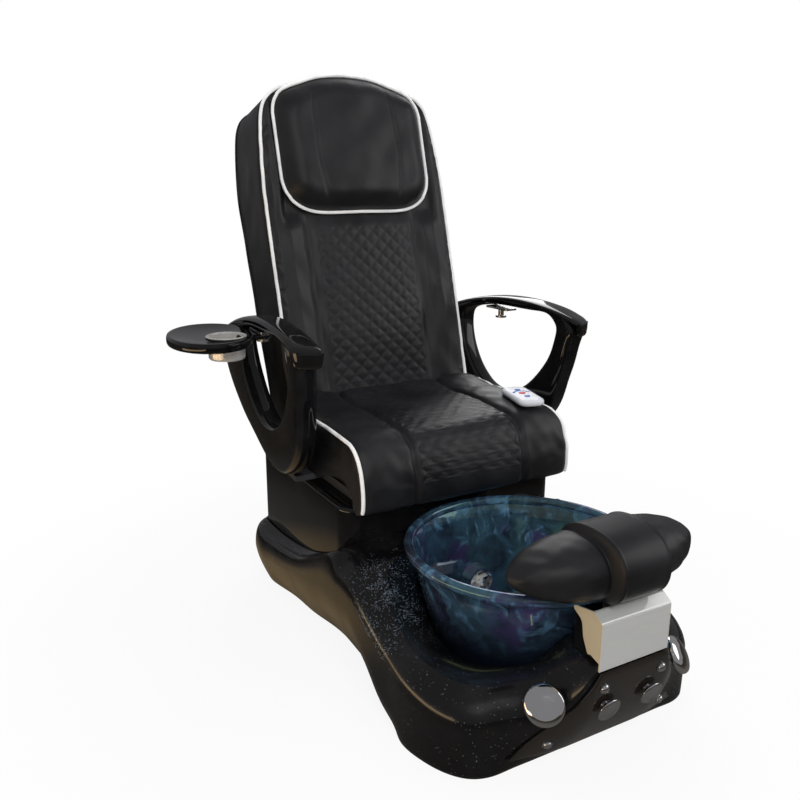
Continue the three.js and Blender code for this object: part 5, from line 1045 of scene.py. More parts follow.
class SPA_OT_stage(bpy.types.Operator):
    """Camera, lights, world and the pale floor."""

    bl_idname = "spa_chair.stage"
    bl_label = "Stage"

    def execute(self, context):
        scene = context.scene
        scene.view_settings.view_transform = "Standard"
        camera = bpy.data.objects.new("camera", bpy.data.cameras.new("camera"))
        camera.data.lens = CAMERA_LENS
        camera.data.sensor_width = 36.0
        camera.data.shift_x, camera.data.shift_y = CAMERA_SHIFT
        camera.matrix_world = camera_matrix()
        scene.collection.objects.link(camera)
        scene.camera = camera
        self.light()
        self.world(scene)
        self.floor()
        return {"FINISHED"}

    def light(self):
        """Key with a small glint in it, fill, top, a strip behind and a warm card near the floor."""
        soft_light("key", (-1.3, -3.3, 3.0), (0, -0.1, 0.6), (2.2, 2.2), 60, mirrored_in_gloss=False)
        soft_light("glint", (-1.3, -3.3, 3.0), (0, -0.1, 0.6), (1.3, 0.8), 26)
        soft_light("fill", (3.0, -2.0, 2.2), (0, -0.1, 0.5), (2.4, 2.4), 26)
        soft_light("top", (0.2, 0.6, 3.6), (0, 0, 0.6), (2.6, 2.0), 40, mirrored_in_gloss=False)
        soft_light("rim", (1.8, 2.6, 2.4), (0, 0.2, 0.7), (1.2, 2.4), 26)
        soft_light("floor card", (-2.1, -0.2, 0.12), (0, -0.2, 0.2), (2.4, 0.35), 9, (1.0, 0.72, 0.42))

    def world(self, scene):
        """Soft grey light, seen as white."""
        world = bpy.data.worlds.new("studio")
        world.use_nodes = True
        scene.world = world
        tree = world.node_tree
        background = tree.nodes["Background"]
        path = tree.nodes.new("ShaderNodeLightPath")
        seen = math_node(tree, "MAXIMUM", path.outputs["Is Camera Ray"], path.outputs["Is Transmission Ray"])
        glossy = path.outputs["Is Glossy Ray"]
        level = mixed(tree, glossy, (0.30, 0.30, 0.31), (0.20, 0.20, 0.21))
        tree.links.new(mixed(tree, seen, level, (1.0, 1.0, 1.0)), background.inputs["Color"])
        background.inputs["Strength"].default_value = 1.0

    def floor(self):
        """Flat pale floor that keeps a part of the chair's shadow; to glossy rays it shows dark, with a warm
        brown patch left of the chair, a painted reflection.
        """
        ring = turned([(0.001, 0), (400, 0), (1200, 0), (3000, 0), (9000, 0)], 64)
        material, tree, shader, place = new_material("pale floor", (0.9, 0.9, 0.9), 0.85)
        glossy = tree.nodes.new("ShaderNodeLightPath").outputs["Is Glossy Ray"]
        parts = add_node(tree, "ShaderNodeSeparateXYZ", {"Vector": place})
        away = add_node(tree, "ShaderNodeVectorMath", {0: place}, operation="LENGTH").outputs["Value"]
        # painted reflection: glossy rays see a dark floor with a glowing warm brown patch to the left of the
        # chair, mirrored in the base's undercut
        left = ramp(tree, parts.outputs["X"], -0.2, -0.4)
        beside = math_node(tree, "MULTIPLY", left, ramp(tree, away, 0.9, 0.65))
        beside = math_node(tree, "MULTIPLY", beside, ramp(tree, parts.outputs["Y"], -0.2, 0.1))
        warm = mixed(tree, beside, (0.035, 0.030, 0.025), (0.32, 0.22, 0.10))
        seen = mixed(tree, glossy, (1.0, 1.0, 1.0), warm)
        glow = add_node(tree, "ShaderNodeEmission", {"Color": seen, "Strength": 1.0})
        blend = tree.nodes.new("ShaderNodeMixShader")
        share = math_node(tree, "MULTIPLY", seen_directly(tree), ramp(tree, away, 0.7, 1.5, 0.9, 1.0))
        tree.links.new(share, blend.inputs["Fac"])
        tree.links.new(shader.outputs["BSDF"], blend.inputs[1])
        tree.links.new(glow.outputs["Emission"], blend.inputs[2])
        tree.links.new(blend.outputs["Shader"], tree.nodes["Material Output"].inputs["Surface"])
        piece = Builder().grid(ring, close_u=True).make("floor", material, outward=False)
        if piece.data.polygons[0].normal.z < 0:
            piece.data.flip_normals()


# ---------------------------------------------------------------- base


class SPA_OT_base(bpy.types.Operator):
    """Moulded base shell: station sections joined by a closed spline."""

    bl_idname = "spa_chair.base"
    bl_label = "Base shell"

    def execute(self, context):
        net = mirrored(np.array([base_section(station) for station in STATIONS]))
        grid = spline(net, 7, closed=True)
        shell = Builder().grid(grid, close_u=True).make("base_shell_skin", finishes()["base"])
        if shell.data.polygons[0].normal.y > 0:
            shell.data.flip_normals()
        thickened(shell)
        finish_piece(shell, "base", ["base_shell"])
        return {"FINISHED"}


class SPA_OT_plinth(bpy.types.Operator):
    """Seat plinth: rounded rectangle rings, tucked in under the shell and rolled over the top edge."""

    bl_idname = "spa_chair.plinth"
    bl_label = "Seat plinth"

    def execute(self, context):
        levels = [(PLINTH_FOOT, 54, 27), (60, 26, 13), (110, 0, 0), (200, 0, 0), (300, 0, 0)]
        for turn in np.linspace(0, math.pi / 2, 7):
            inset = PLINTH_ROLL * (1 - math.cos(turn))
            levels.append((PLINTH_TOP - PLINTH_ROLL + PLINTH_ROLL * math.sin(turn), inset, inset))
        wall, under = PLINTH_WALL, PLINTH_TOP - PLINTH_WALL
        levels += [(PLINTH_TOP, *PLINTH_OPENING), (under, *PLINTH_OPENING), (under, wall, wall)]
        levels += [(110, wall, wall), (PLINTH_FOOT, 54 + wall, 27 + wall)]
        rings = []
        for z, inset_x, inset_y in levels:
            corner = max(8.0, PLINTH_CORNER - inset_x)
            ring = rounded_ring(PLINTH_HALF - inset_x, PLINTH_FRONT + inset_y, PLINTH_REAR - inset_y, corner)
            rings.append(at_height(ring, z))
        add_piece("seat_plinth_skin", np.array(rings), "gelcoat", "base", ["seat_plinth"], "gelcoat",
                  angle=40, **LOOPED)
        return {"FINISHED"}


class SPA_OT_bowl(bpy.types.Operator):
    """Foot bowl: a turned wall with a thick rolled rim."""

    bl_idname = "spa_chair.bowl"
    bl_label = "Foot bowl"

    def execute(self, context):
        z = BOWL_FLOOR_Z + (BOWL_RIM_Z - BOWL_FLOOR_Z) * np.linspace(0.1, 0.86, 14)
        outside = np.column_stack([bowl_radius(z), z])
        inside = np.column_stack([bowl_radius(z) - BOWL_WALL, z])[::-1]
        turn = np.linspace(-0.5 * math.pi, 1.25 * math.pi, 15)
        wide, tall = BOWL_RIM_ROLL
        rim_radius = BOWL_RIM_RADIUS - wide + wide * np.cos(turn)
        rim = np.column_stack([rim_radius, BOWL_RIM_Z - tall + tall * np.sin(turn)])
        low = BOWL_FLOOR_Z - BOWL_WALL
        foot = [(DRAIN_RADIUS, low), (BOWL_FOOT, low), (BOWL_FOOT + 24, low + 10)]
        floor = [(BOWL_FOOT + 8, BOWL_FLOOR_Z + 4), (BOWL_FOOT - 20, BOWL_FLOOR_Z)]
        floor.append((DRAIN_RADIUS, BOWL_FLOOR_Z))
        profile = np.vstack([foot, outside, rim, inside, floor])
        grid = turned(profile, 120) + np.array([0, BOWL_Y, 0])
        add_piece("bowl_skin", grid, "bowl", "base", ["bowl"], "bowl_glass", angle=50, **LOOPED)
        return {"FINISHED"}


# ---------------------------------------------------------------- panel and knobs

PANEL_LOW, PANEL_HIGH = 30.0, BOW_TOP - 2.0
PANEL_TOP_HALF, PANEL_LOW_HALF = 82.0, 214.0
PANEL_PROUD = 7.8
PANEL_THICKNESS = 5.0
BUTTON_PLACES = (("jet_button", -54.0, 150.0), ("drain_button", 54.0, 150.0))
BOLT_PLACES = ((-72.0, 200.0), (72.0, 200.0), (-146.0, 66.0), (146.0, 66.0))
KNOB_OUT = (0.5, -0.66, 0.55)
KNOB_TURN = 27.0
KNOB_BACK = 18.3
KNOB_RADIUS = 39.0
STEM_RADIUS = 8.0
STEM_END = -7.4
STEM_PLAY = 1.0
BORE_REACH = 20.0
BUTTON_RADIUS = 26.0
BUTTON_STAND = 6.0
BOLT_RADIUS = 9.0
BOLT_STAND = 0.5
WASHER_THICKNESS = 1.4
DOME_RISE = 6.0


def panel_y(x, z):
    """Outer face of the panel."""
    return bow_y(x, z) - PANEL_PROUD


def panel_out(x, z):
    """Outward direction of the panel: (dy/dx, -1, dy/dz) from central differences."""
    across = (panel_y(x + 4, z) - panel_y(x - 4, z)) / 8
    rise = (panel_y(x, z + 4) - panel_y(x, z - 4)) / 8
    out = np.array([float(across), -1.0, float(rise)])
    return out / np.linalg.norm(out)


def panel_place(x, z, stand=0.0):
    """Point that stands off the panel's face along its outward direction."""
    return np.array([x, float(panel_y(x, z)), z]) + panel_out(x, z) * stand


class SPA_OT_panel(bpy.types.Operator):
    """Front panel, its domed bolts and its two push buttons."""

    bl_idname = "spa_chair.panel"
    bl_label = "Front panel"

    def execute(self, context):
        self.plate()
        for k, (x, z) in enumerate(BOLT_PLACES):
            self.bolt(k + 1, x, z)
        for node, x, z in BUTTON_PLACES:
            self.button(node, x, z)
        return {"FINISHED"}

    def plate(self):
        """Sheet over (across, up); its half width runs from foot to top as rise^0.85."""
        rise = np.linspace(0, 1, 28)[:, None]
        across = np.linspace(-1, 1, 56)[None, :]
        z = PANEL_LOW + (PANEL_HIGH - PANEL_LOW) * rise + 0 * across
        half = PANEL_LOW_HALF + (PANEL_TOP_HALF - PANEL_LOW_HALF) * rise ** 0.85
        x = half * across
        edge = np.maximum(np.abs(across), np.abs(2 * rise - 1)) + 0 * x
        soft = 1.6 * smoothstep(edge, 0.965, 1.0)
        front = np.stack([x, panel_y(x, z) + soft, z], -1)
        back = np.stack([x, panel_y(x, z) + PANEL_THICKNESS, z], -1)
        sheet = Builder()
        sheet.grid(front).grid(back)
        for line in ((0, ...), (-1, ...), (slice(None), 0), (slice(None), -1)):
            sheet.grid(np.stack([front[line], back[line]]))
        piece = sheet.make("front_panel_skin", finishes()["panel"], 35)
        bored(piece, [self.bore(x, z) for _, x, z in BUTTON_PLACES])
        finish_piece(piece, "base", ["front_panel"])

    def bore(self, x, z):
        """Rod that cuts the hole for a button's stem."""
        radius, reach = STEM_RADIUS + STEM_PLAY, BORE_REACH
        grid = turned([(0.0, -reach), (radius, -reach), (radius, reach), (0.0, reach)], 40)
        grid = placed(grid, panel_out(x, z), panel_place(x, z))
        return Builder().grid(grid, **TURNED).make("bore", finishes()["panel"])

    def bolt(self, number, x, z):
        """Domed head on a thin washer."""
        washer = BOLT_RADIUS + 1.6
        profile = [(0.0, 0), (washer, 0), (washer, 1.0), (BOLT_RADIUS, WASHER_THICKNESS)]
        for turn in np.linspace(0, math.pi / 2, 9)[1:-1]:
            profile.append((BOLT_RADIUS * math.cos(turn), WASHER_THICKNESS + DOME_RISE * math.sin(turn)))
        profile.append((0.0, WASHER_THICKNESS + DOME_RISE))
        grid = placed(turned(profile, 36), panel_out(x, z), panel_place(x, z, BOLT_STAND))
        add_piece(f"panel_bolt_{number}_dome", grid, "chrome", "base", [f"panel_bolt_{number}"], "chrome",
                  angle=40, **TURNED)

    def button(self, node, x, z):
        """Chrome button: stem, rolled rim and a shallow dish round a raised middle."""
        radius = BUTTON_RADIUS
        profile = softened([
            (0.0, STEM_END), (STEM_RADIUS, STEM_END), (STEM_RADIUS, 0.5), (radius * 0.5, 0.8),
            (radius - 1, 2.4), (radius, 3.2), (radius, 4.6), (radius - 3, 7), (radius - 6, 7),
            (radius - 8, 5.4), (radius * 0.5, 6.8), (radius * 0.25, 8.2), (0.0, 8.8),
        ], 1.4)
        grid = placed(turned(profile, 56), panel_out(x, z), panel_place(x, z, BUTTON_STAND))
        add_piece(f"{node}_head", grid, "chrome", node, [node], "chrome", angle=60, **TURNED)


class SPA_OT_knobs(bpy.types.Operator):
    """Round chrome knobs on the front lobes."""

    bl_idname = "spa_chair.knobs"
    bl_label = "Lobe knobs"

    def execute(self, context):
        radius = KNOB_RADIUS
        profile = softened([
            (0.0, KNOB_BACK), (radius * 0.7, KNOB_BACK), (radius - 1, 23), (radius, 26), (radius, 31),
            (radius - 3, 36), (radius * 0.72, 40), (radius * 0.4, 42.4), (0.0, 43),
        ], 3.0)
        for node, side in (("drain_knob", -1), ("mixer_knob", 1)):
            out = np.array([side * KNOB_OUT[0], KNOB_OUT[1], KNOB_OUT[2]])
            out /= np.linalg.norm(out)
            place = lobe_point(KNOB_TURN) * np.array([side, 1, 1])
            grid = placed(turned(profile, 72), out, place)
            add_piece(f"{node}_disc", grid, "mirror", node, [node], "chrome", angle=60, **TURNED)
        return {"FINISHED"}


# ---------------------------------------------------------------- footrest

FOOT_HALF = 222.0
FOOT_Y = -600.0
FOOT_Z = 408.0
FOOT_DEPTH = 84.0
FOOT_HEIGHT = 62.0
FOOT_SQUARENESS = 0.86
BAND_HALF = 58.0
BAND_DEPTH = 10.0
BAND_HEIGHT = 8.0
SEAM_SINK = 3.0
HEM_RISE = 1.8
HOLLOW_HALF = 92.0
HOLLOW_FRONT = -694.0
HOLLOW_TOP = 358.0


def foot_section(x):
    """Half depth, half height and middle (y, z) of the footrest at x: (1-a^2.6)^0.62, with a broad band."""
    a = np.abs(x) / FOOT_HALF
    fullness = np.maximum(0, 1 - a ** 2.6) ** 0.62
    band = 1 - smoothstep(np.abs(x), BAND_HALF - 3, BAND_HALF + 6)
    seam = np.exp(-((np.abs(x) - BAND_HALF - 6) / 4.0) ** 2)
    hem = np.exp(-((np.abs(x) - BAND_HALF + 4) / 2.5) ** 2)
    depth = FOOT_DEPTH * fullness + BAND_DEPTH * band - SEAM_SINK * seam + HEM_RISE * hem
    height = FOOT_HEIGHT * fullness + BAND_HEIGHT * band - SEAM_SINK * seam + HEM_RISE * hem
    return depth, height, FOOT_Y + 16 * a * a - 14 * band, FOOT_Z + 6 * band


class SPA_OT_footrest(bpy.types.Operator):
    """Footrest: a padded roll whose middle is covered by a broader sewn band."""

    bl_idname = "spa_chair.footrest"
    bl_label = "Footrest"

    def execute(self, context):
        across = np.sin(np.linspace(-math.pi / 2, math.pi / 2, 150))
        inner = np.linspace(-BAND_HALF - 12, BAND_HALF + 12, 60)
        xs = np.unique(np.concatenate([across * FOOT_HALF * 0.9995, inner]))[:, None]
        angle = np.linspace(0, 2 * math.pi, 88, endpoint=False)[None, :]
        depth, height, y, z = foot_section(xs)
        c, s = np.cos(angle), np.sin(angle)
        grid = np.stack([
            xs + 0 * angle,
            y + np.sign(c) * np.abs(c) ** FOOT_SQUARENESS * depth,
            z + np.sign(s) * np.abs(s) ** FOOT_SQUARENESS * height,
        ], -1)
        crease = context.scene.spa_chair_sizes.crease / MM
        uneven = 0.6 * ripple(grid[..., 0], grid[..., 1] + grid[..., 2], 11)
        lift = uneven * crease * smoothstep(np.abs(xs), 60, 90)
        out = normals(grid, close_v=True)
        outward = np.sign(out[..., 2:3] * s[..., None])
        grid = grid + out * lift[..., None] * outward
        grid[..., 2] = np.maximum(grid[..., 2], self.underside(grid))
        piece = add_piece("footrest_pad", grid, "leather", "footrest", ["foot_cushion"], "leather", **CAPPED)
        return {"FINISHED"}

    def underside(self, grid):
        """Lowest height allowed: the pad is hollowed over its bracket."""
        over = (np.abs(grid[..., 0]) < HOLLOW_HALF) & (grid[..., 1] > HOLLOW_FRONT)
        return np.where(over, HOLLOW_TOP, -np.inf)


# ---------------------------------------------------------------- seat

SEAT_TOP = 548.0
SEAT_REAR = 274.0
SEAT_LOW = 400.6
SEAT_SKIRT = 378.0
SEAM_X = 150.0
SEAT_QUILT_LOW = (418.0, 440.0)
SEAT_QUILT_REAR = (236.0, 258.0)
SEAT_PIPING_X = 284.5
SEAT_PIPING_FOOT = 384.0
SEAT_PIPING_PROUD = 1.4
SKIRT_REAR = -100.0
SEAT_STATIONS = [
    # x, drop of the top, draw of the front
    (0, 2, 1), (75, 0, 0), (128, 2, 1), (SEAM_X - 8, 6, 3), (SEAM_X, 12, 8), (SEAM_X + 8, 6, 3), (172, 0, 2),
    (205, -3, 0), (245, -1, 1), (268, 4, 3), (280, 10, 7), (287, 20, 12), (290, 36, 18), (289, 60, 26),
]


def seat_profile(drop, draw):
    """Closed (y, z) profile of the seat: flat top, rolled front with a skirt, leaning rear."""
    rear = SEAT_REAR - draw * 0.5
    lean = math.tan(BACK_TILT)
    top = SEAT_TOP - drop
    low = SEAT_LOW
    return [
        (rear, top - 4), (200, top), (110, top), (20, top), (-50, top - 4), (-98 + draw * 0.2, top - 12),
        (-132 + draw * 0.6, 500 - drop * 0.6), (-150 + draw, 452), (-154 + draw, 412),
        (-142 + draw * 0.8, SEAT_SKIRT), (-108, SEAT_SKIRT), (-96, low), (80, low),
        (rear - lean * 90, low), (rear - lean * 60, low + 40), (rear - lean * 54, low + 72),
        (rear - lean * 31, min(low + 96, top - 14)),
    ]


class SPA_OT_seat(bpy.types.Operator):
    """Seat cushion: rolled front, two sewn channels, a quilted middle and piping along its sides."""

    bl_idname = "spa_chair.seat"
    bl_label = "Seat cushion"

    def execute(self, context):
        sizes = context.scene.spa_chair_sizes
        half = [[(x, y, z) for y, z in seat_profile(drop, draw)] for x, drop, draw in SEAT_STATIONS]
        left = np.array(half, float)
        net = np.concatenate([left[1:][::-1] * np.array([-1, 1, 1]), left])
        rows = spline(net, 7)
        grid = np.swapaxes(spline(np.swapaxes(rows, 0, 1), 24, closed=True), 0, 1)
        behind_skirt = grid[..., 1] > SKIRT_REAR
        grid[..., 2] = np.where(behind_skirt, np.maximum(grid[..., 2], SEAT_LOW - 0.2), grid[..., 2])
        along = arc_lengths(grid, 1)
        x = grid[..., 0]
        out = normals(grid, close_v=True)
        out = out * np.sign(((grid - grid.mean((0, 1))) * out).sum((0, 1, 2)))
        rear_edge, rear_end = SEAT_QUILT_REAR
        top = smoothstep(grid[..., 2], *SEAT_QUILT_LOW) * smoothstep(-grid[..., 1], -rear_end, -rear_edge)
        panel = (1 - smoothstep(np.abs(x), SEAM_X - 16, SEAM_X - 8)) * top
        lift = panel * (quilt(x, along, sizes.quilt / MM) - 0.75) * sizes.quilt_depth / MM
        creases = ripple(x, along, 5) * sizes.crease / MM * (1 - panel) * top
        grid = grid + out * (lift + creases)[..., None]
        build = Builder().grid(grid, close_v=True)
        build.flat_end(0).flat_end(len(grid) - 1)
        piece = build.make("seat_pad", finishes()["leather"], 50)
        finish_piece(piece, "seat", ["seat_cushion"])
        self.piping(grid)
        return {"FINISHED"}

    def piping(self, grid):
        """Cord along the upper edge of each side, from the rear of the seat down its rolled front."""
        radius = bpy.context.scene.spa_chair_sizes.piping / MM
        build = Builder()
        across = grid[:, 0, 0]
        for side in (-1, 1):
            row = int(np.argmin(np.abs(across - side * SEAT_PIPING_X)))
            line = grid[row]
            low = int(np.argmax(line[:, 2] < SEAT_PIPING_FOOT))
            path = line[4:low] + (line[4:low] - line[4:low].mean(0)) * 0.004
            path[:, 0] += side * SEAT_PIPING_PROUD
            build.grid(tube(path, radius, 10, up=(1, 0, 0)), **CAPPED)
        piece = build.make("seat_piping", finishes()["piping"])
        finish_piece(piece, "seat", ())


# ---------------------------------------------------------------- back


def onto_back(points):
    """From (x, v, u) in the back's plane to (x, y, z): y = pivot + u sin t + v cos t and
    z = pivot + u cos t - v sin t."""
    p = np.asarray(points, float)
    x, v, u = p[..., 0], p[..., 1], p[..., 2]
    s, c = math.sin(BACK_TILT), math.cos(BACK_TILT)
    return np.stack([x, RECLINE_Y + u * s + v * c, RECLINE_Z + u * c - v * s], -1)


def outline_points():
    """Fine left half of the back's outline, from the foot to the middle of the top, and its mirror image."""
    half = [(x * BACK_HALF / EDGE_HALF, u) for x, u in BACK_EDGE]
    edge = spline(np.array(half + [CUSHION_TOP[0]], float), 8)
    edge[0, 1] = BACK_FOOT
    left = edge[::-1][1:] * np.array([-1, 1])
    return np.vstack([edge, left])


def drawn_in(outline, inset, foot):
    """Outline moved inwards along its normals, and kept above its foot."""
    tangent = np.gradient(outline, axis=0)
    tangent /= np.linalg.norm(tangent, axis=1, keepdims=True)
    normal = np.stack([tangent[:, 1], -tangent[:, 0]], -1)
    moved = outline - normal * inset
    moved[0] = (outline[0, 0] - inset, foot)
    moved[-1] = (outline[-1, 0] + inset, foot)
    moved[:, 1] = np.maximum(moved[:, 1], foot)
    return moved


def distance_inside(points, outline):
    """Distance of each point from an outline's nearest segment."""
    flat = points.reshape(-1, 1, 2)
    a, b = outline[:-1][None], outline[1:][None]
    ab = b - a
    t = np.clip(((flat - a) * ab).sum(-1) / np.maximum((ab * ab).sum(-1), 1e-9), 0, 1)[..., None]
    return np.linalg.norm(flat - (a + ab * t), axis=-1).min(1).reshape(points.shape[:-1])


def top_at(x, table):
    """Height of an outline's top over x, from (x, height) pairs that run outwards."""
    xs, us = np.transpose(table)
    return np.interp(np.abs(x), xs, us)


class SPA_OT_back_shell(bpy.types.Operator):
    """Rear shell: outline rings from the front edge, round the rear corner, to the flat rear face."""

    bl_idname = "spa_chair.back_shell"
    bl_label = "Back shell"

    def execute(self, context):
        outline = outline_points()
        rings = [self.ring(outline, 0, 0, CUSHION_FACE + 12)]
        for v in np.linspace(CUSHION_FACE + 30, 30, 8):
            rings.append(self.ring(outline, 0, 0, np.minimum(v, eased(REAR_START, outline[:, 1]) - 2)))
        for turn in np.radians(np.linspace(0, 90, 10)):
            depth = eased(REAR_START, outline[:, 1]) + REAR_ROUND * math.sin(turn)
            inset = REAR_ROUND * (1 - math.cos(turn))
            rings.append(self.ring(outline, inset, REAR_FOOT_RISE * math.sin(turn), depth))
        grid = np.array(rings)
        count = grid.shape[1] // 2
        side = grid[-1][:count]
        other = grid[-1][::-1][:count]
        s = np.linspace(0, 1, 28)[:, None, None]
        rear = side[None] + (other - side)[None] * s
        bulge = 8 * np.sin(math.pi * s[..., 0]) * smoothstep(side[:, 2], 80, 260)[None]
        rear[..., 1] += bulge
        sag = context.scene.spa_chair_sizes.crease / MM
        wave = ripple(grid[..., 1] * 1.5, grid[..., 2], 21, low=0.004, high=0.012)
        row = np.arange(len(grid))[:, None]
        fade = smoothstep(row, 1, 4) * (1 - smoothstep(row, 14, 17))
        below_top = smoothstep(900 - grid[..., 2], 60, 200)
        grid[..., 0] -= np.sign(grid[..., 0]) * sag * 1.2 * (1 + wave) * fade * below_top
        build = Builder().grid(onto_back(grid)).grid(onto_back(rear))
        piece = build.make("back_shell_skin", finishes()["leather"])
        self.outward(piece, onto_back(np.array([0, 0, 470.0])) * MM)
        thickened(piece)
        finish_piece(piece, "back", ["back_shell"])
        self.seam(outline)
        return {"FINISHED"}

    def ring(self, outline, inset, rise, v):
        """Outline drawn in at depth v."""
        moved = drawn_in(outline, inset, SHELL_FOOT + rise)
        return np.column_stack([moved[:, 0], np.broadcast_to(v, len(moved)), moved[:, 1]])

    def outward(self, piece, centre):
        """Turns an open shell's faces away from its middle."""
        mesh = piece.data
        middle = Vector(centre)
        total = sum((polygon.center - middle).dot(polygon.normal) for polygon in mesh.polygons)
        if total < 0:
            mesh.flip_normals()

    def seam(self, outline):
        """Thin sewn welt where the side panel meets the rear panel."""
        depth = eased(REAR_START, outline[:, 1]) + 2
        path = np.column_stack([outline[:, 0] * 1.003, depth, outline[:, 1] + 0.003 * (outline[:, 1] - 400)])
        grid = tube(onto_back(path[2:-2]), 1.6, 8, up=(1, 0.2, 0))
        add_piece("back_welt", grid, "leather", "back", slot="leather", **CAPPED)


BOLSTER = [
    # distance from the outline, bulge
    (0, 0), (6, 7), (20, 15), (52, 21), (88, 15), (104, 6), (109, 3), (114, 6), (128, 11), (170, 15),
    (280, 17),
]


class SPA_OT_back_cushion(bpy.types.Operator):
    """Front cushion of the back: bolsters round a quilted middle, piping round the edge."""

    bl_idname = "spa_chair.back_cushion"
    bl_label = "Back cushion"

    def execute(self, context):
        sizes = context.scene.spa_chair_sizes
        outline = outline_points()
        x = CUSHION_HALF * np.sin(np.linspace(-math.pi / 2, math.pi / 2, 210))[:, None]
        top = top_at(x, CUSHION_TOP)
        rise = np.linspace(0, 1, 250)[None, :]
        rise = rise + 0.03 * np.sin(2 * math.pi * rise) / (2 * math.pi)
        u = BACK_FOOT + (top - BACK_FOOT) * rise
        x = x + 0 * u
        plane = np.stack([x, u], -1)
        inside = distance_inside(plane, outline)
        risen = 0.3 + 0.7 * smoothstep(u, 60, 230)
        covered = 1 - 0.92 * smoothstep(u, 506, 566) * (1 - smoothstep(np.abs(x), 214, 238))
        bulge = np.interp(inside, *np.transpose(BOLSTER)) * risen * covered
        panel = (1 - smoothstep(np.abs(x), 134, 146)) * smoothstep(u, 70, 110) * (1 - smoothstep(u, 500, 530))
        lift = panel * (quilt(x, u, sizes.quilt / MM) - 0.75) * sizes.quilt_depth / MM
        wave = ripple(x, u, 3, low=0.006, high=0.02)
        soft = wave * sizes.crease / MM * 1.4 * (1 - panel) * smoothstep(inside, 2, 14)
        pucker = np.sin(2 * math.pi * (u + 9 * ripple(x, u, 31)) / 33) * np.exp(-((inside - 9) / 11) ** 2)
        pucker = pucker * 1.3 * smoothstep(ripple(x, u, 41, low=0.002, high=0.005), -0.4, 0.9)
        v = CUSHION_FACE + 3 - bulge - (lift + soft) * covered - pucker
        front = np.stack([x, v, u], -1)
        loop = perimeter(front)
        walls = [self.wall(loop, *ring) for ring in CUSHION_WALLS]
        build = Builder().grid(onto_back(front))
        build.grid(onto_back(np.array([loop] + walls)), close_v=True, cap_end=True)
        piece = build.make("back_pad", finishes()["leather"], 60)
        finish_piece(piece, "back", ["back_cushion"])
        self.piping(outline, sizes)
        return {"FINISHED"}

    def wall(self, loop, wide, tall, depth):
        """Loop brought to a half width and a half height round the middle of the back, at a depth."""
        middle = np.array([0, 0, 460.0])
        moved = middle + (loop - middle) * np.array([wide / BACK_HALF, 1, tall / middle[2]])
        moved[:, 1] = depth
        return moved

    def piping(self, outline, sizes):
        """Cord round the front edge, pulled in and out a little by the stitches."""
        radius = sizes.piping / MM
        shape = drawn_in(outline, 1.5, 12)
        wave = 1.8 * ripple(shape[:, 1], shape[:, 0], 9, low=0.006, high=0.014)
        path = np.column_stack([shape[:, 0], CUSHION_FACE - 1 + wave * 0.6, shape[:, 1]])
        path[:, 0] -= np.sign(path[:, 0]) * np.abs(wave) * 0.6
        grid = tube(onto_back(path), radius, 10, up=(0, 1, 0.2))
        add_piece("back_piping", grid, "piping", "back", slot="leather", **CAPPED)


class SPA_OT_pillow(bpy.types.Operator):
    """Head pillow: crowned pad with two sewn channels and piping round its edge."""

    bl_idname = "spa_chair.pillow"
    bl_label = "Head pillow"

    def execute(self, context):
        sizes = context.scene.spa_chair_sizes
        edge = np.array(PILLOW_EDGE, float)
        low = spline(edge[:, [0, 1]], 8)
        high = spline(edge[:, [0, 2]], 8)
        x = edge[-1, 0] * np.sin(np.linspace(-math.pi / 2, math.pi / 2, 150))[:, None]
        lower = np.interp(np.abs(x), low[:, 0], low[:, 1])
        upper = np.interp(np.abs(x), high[:, 0], high[:, 1])
        s = 0.5 - 0.5 * np.cos(np.linspace(0, math.pi, 120))[None, :]
        u = lower + (upper - lower) * s
        x = x + 0 * u
        outline = np.vstack([low, high[::-1]])
        outline = np.vstack([outline, (outline * np.array([-1, 1]))[::-1], outline[:1]])
        inside = distance_inside(np.stack([x, u], -1), outline)
        round_off = 1 - np.maximum(0, 1 - inside / PILLOW_ROUND) ** 2.3
        seam = 106 + 12 * np.sin(math.pi * np.clip((u - 570) / 330, 0, 1))
        channel = PILLOW_SEAM * np.exp(-((np.abs(x) - seam) / 4.0) ** 2) * smoothstep(inside, 24, 50)
        crown = PILLOW_CROWN - 8 * smoothstep(u, 640, 900) + 4 * smoothstep(110 - np.abs(x), 0, 90)
        wave = ripple(x, u, 17, low=0.006, high=0.016)
        soft = wave * sizes.crease / MM * 1.2 * smoothstep(inside, 4, 24)
        v = PILLOW_BACK - crown * round_off + channel - soft
        front = np.stack([x, v, u], -1)
        loop = perimeter(front)
        back = loop.copy()
        back[:, 1] = PILLOW_BACK
        build = Builder().grid(onto_back(front))
        build.grid(onto_back(np.array([loop, back])), close_v=True, cap_end=True)
        piece = build.make("head_pillow_pad", finishes()["leather"])
        finish_piece(piece, "back", ["head_pillow"])
        self.piping(low, high, sizes)
        return {"FINISHED"}

    def piping(self, low, high, sizes):
        """Cord along the pillow's edge, all the way round."""
        half = np.vstack([low, high[::-1]])
        ring = np.vstack([half, (half * np.array([-1, 1]))[::-1][1:-1]])
        path = np.column_stack([ring[:, 0] * 1.004, np.full(len(ring), PILLOW_BACK - 5.0), ring[:, 1]])
        path[:, 2] += 2.0 * np.sign(path[:, 2] - 735) * (np.abs(path[:, 0]) < 200)
        grid = tube(onto_back(path), sizes.piping / MM, 10, closed=True, up=(0, 1, 0.2))
        add_piece("pillow_piping", grid, "piping", "back", slot="leather", **LOOPED)


# ---------------------------------------------------------------- armrests


def on_arc(radius, y):
    """Height of an arc of the top rail over y."""
    return ARC_Z + np.sqrt(radius ** 2 - (np.asarray(y, float) - ARC_Y) ** 2)


def rail_station(outer, inner):
    """Station of the arm's loop on the top rail."""
    return (outer, float(on_arc(ARC_RAIL, outer)), inner, float(on_arc(ARC_UNDER, inner)))


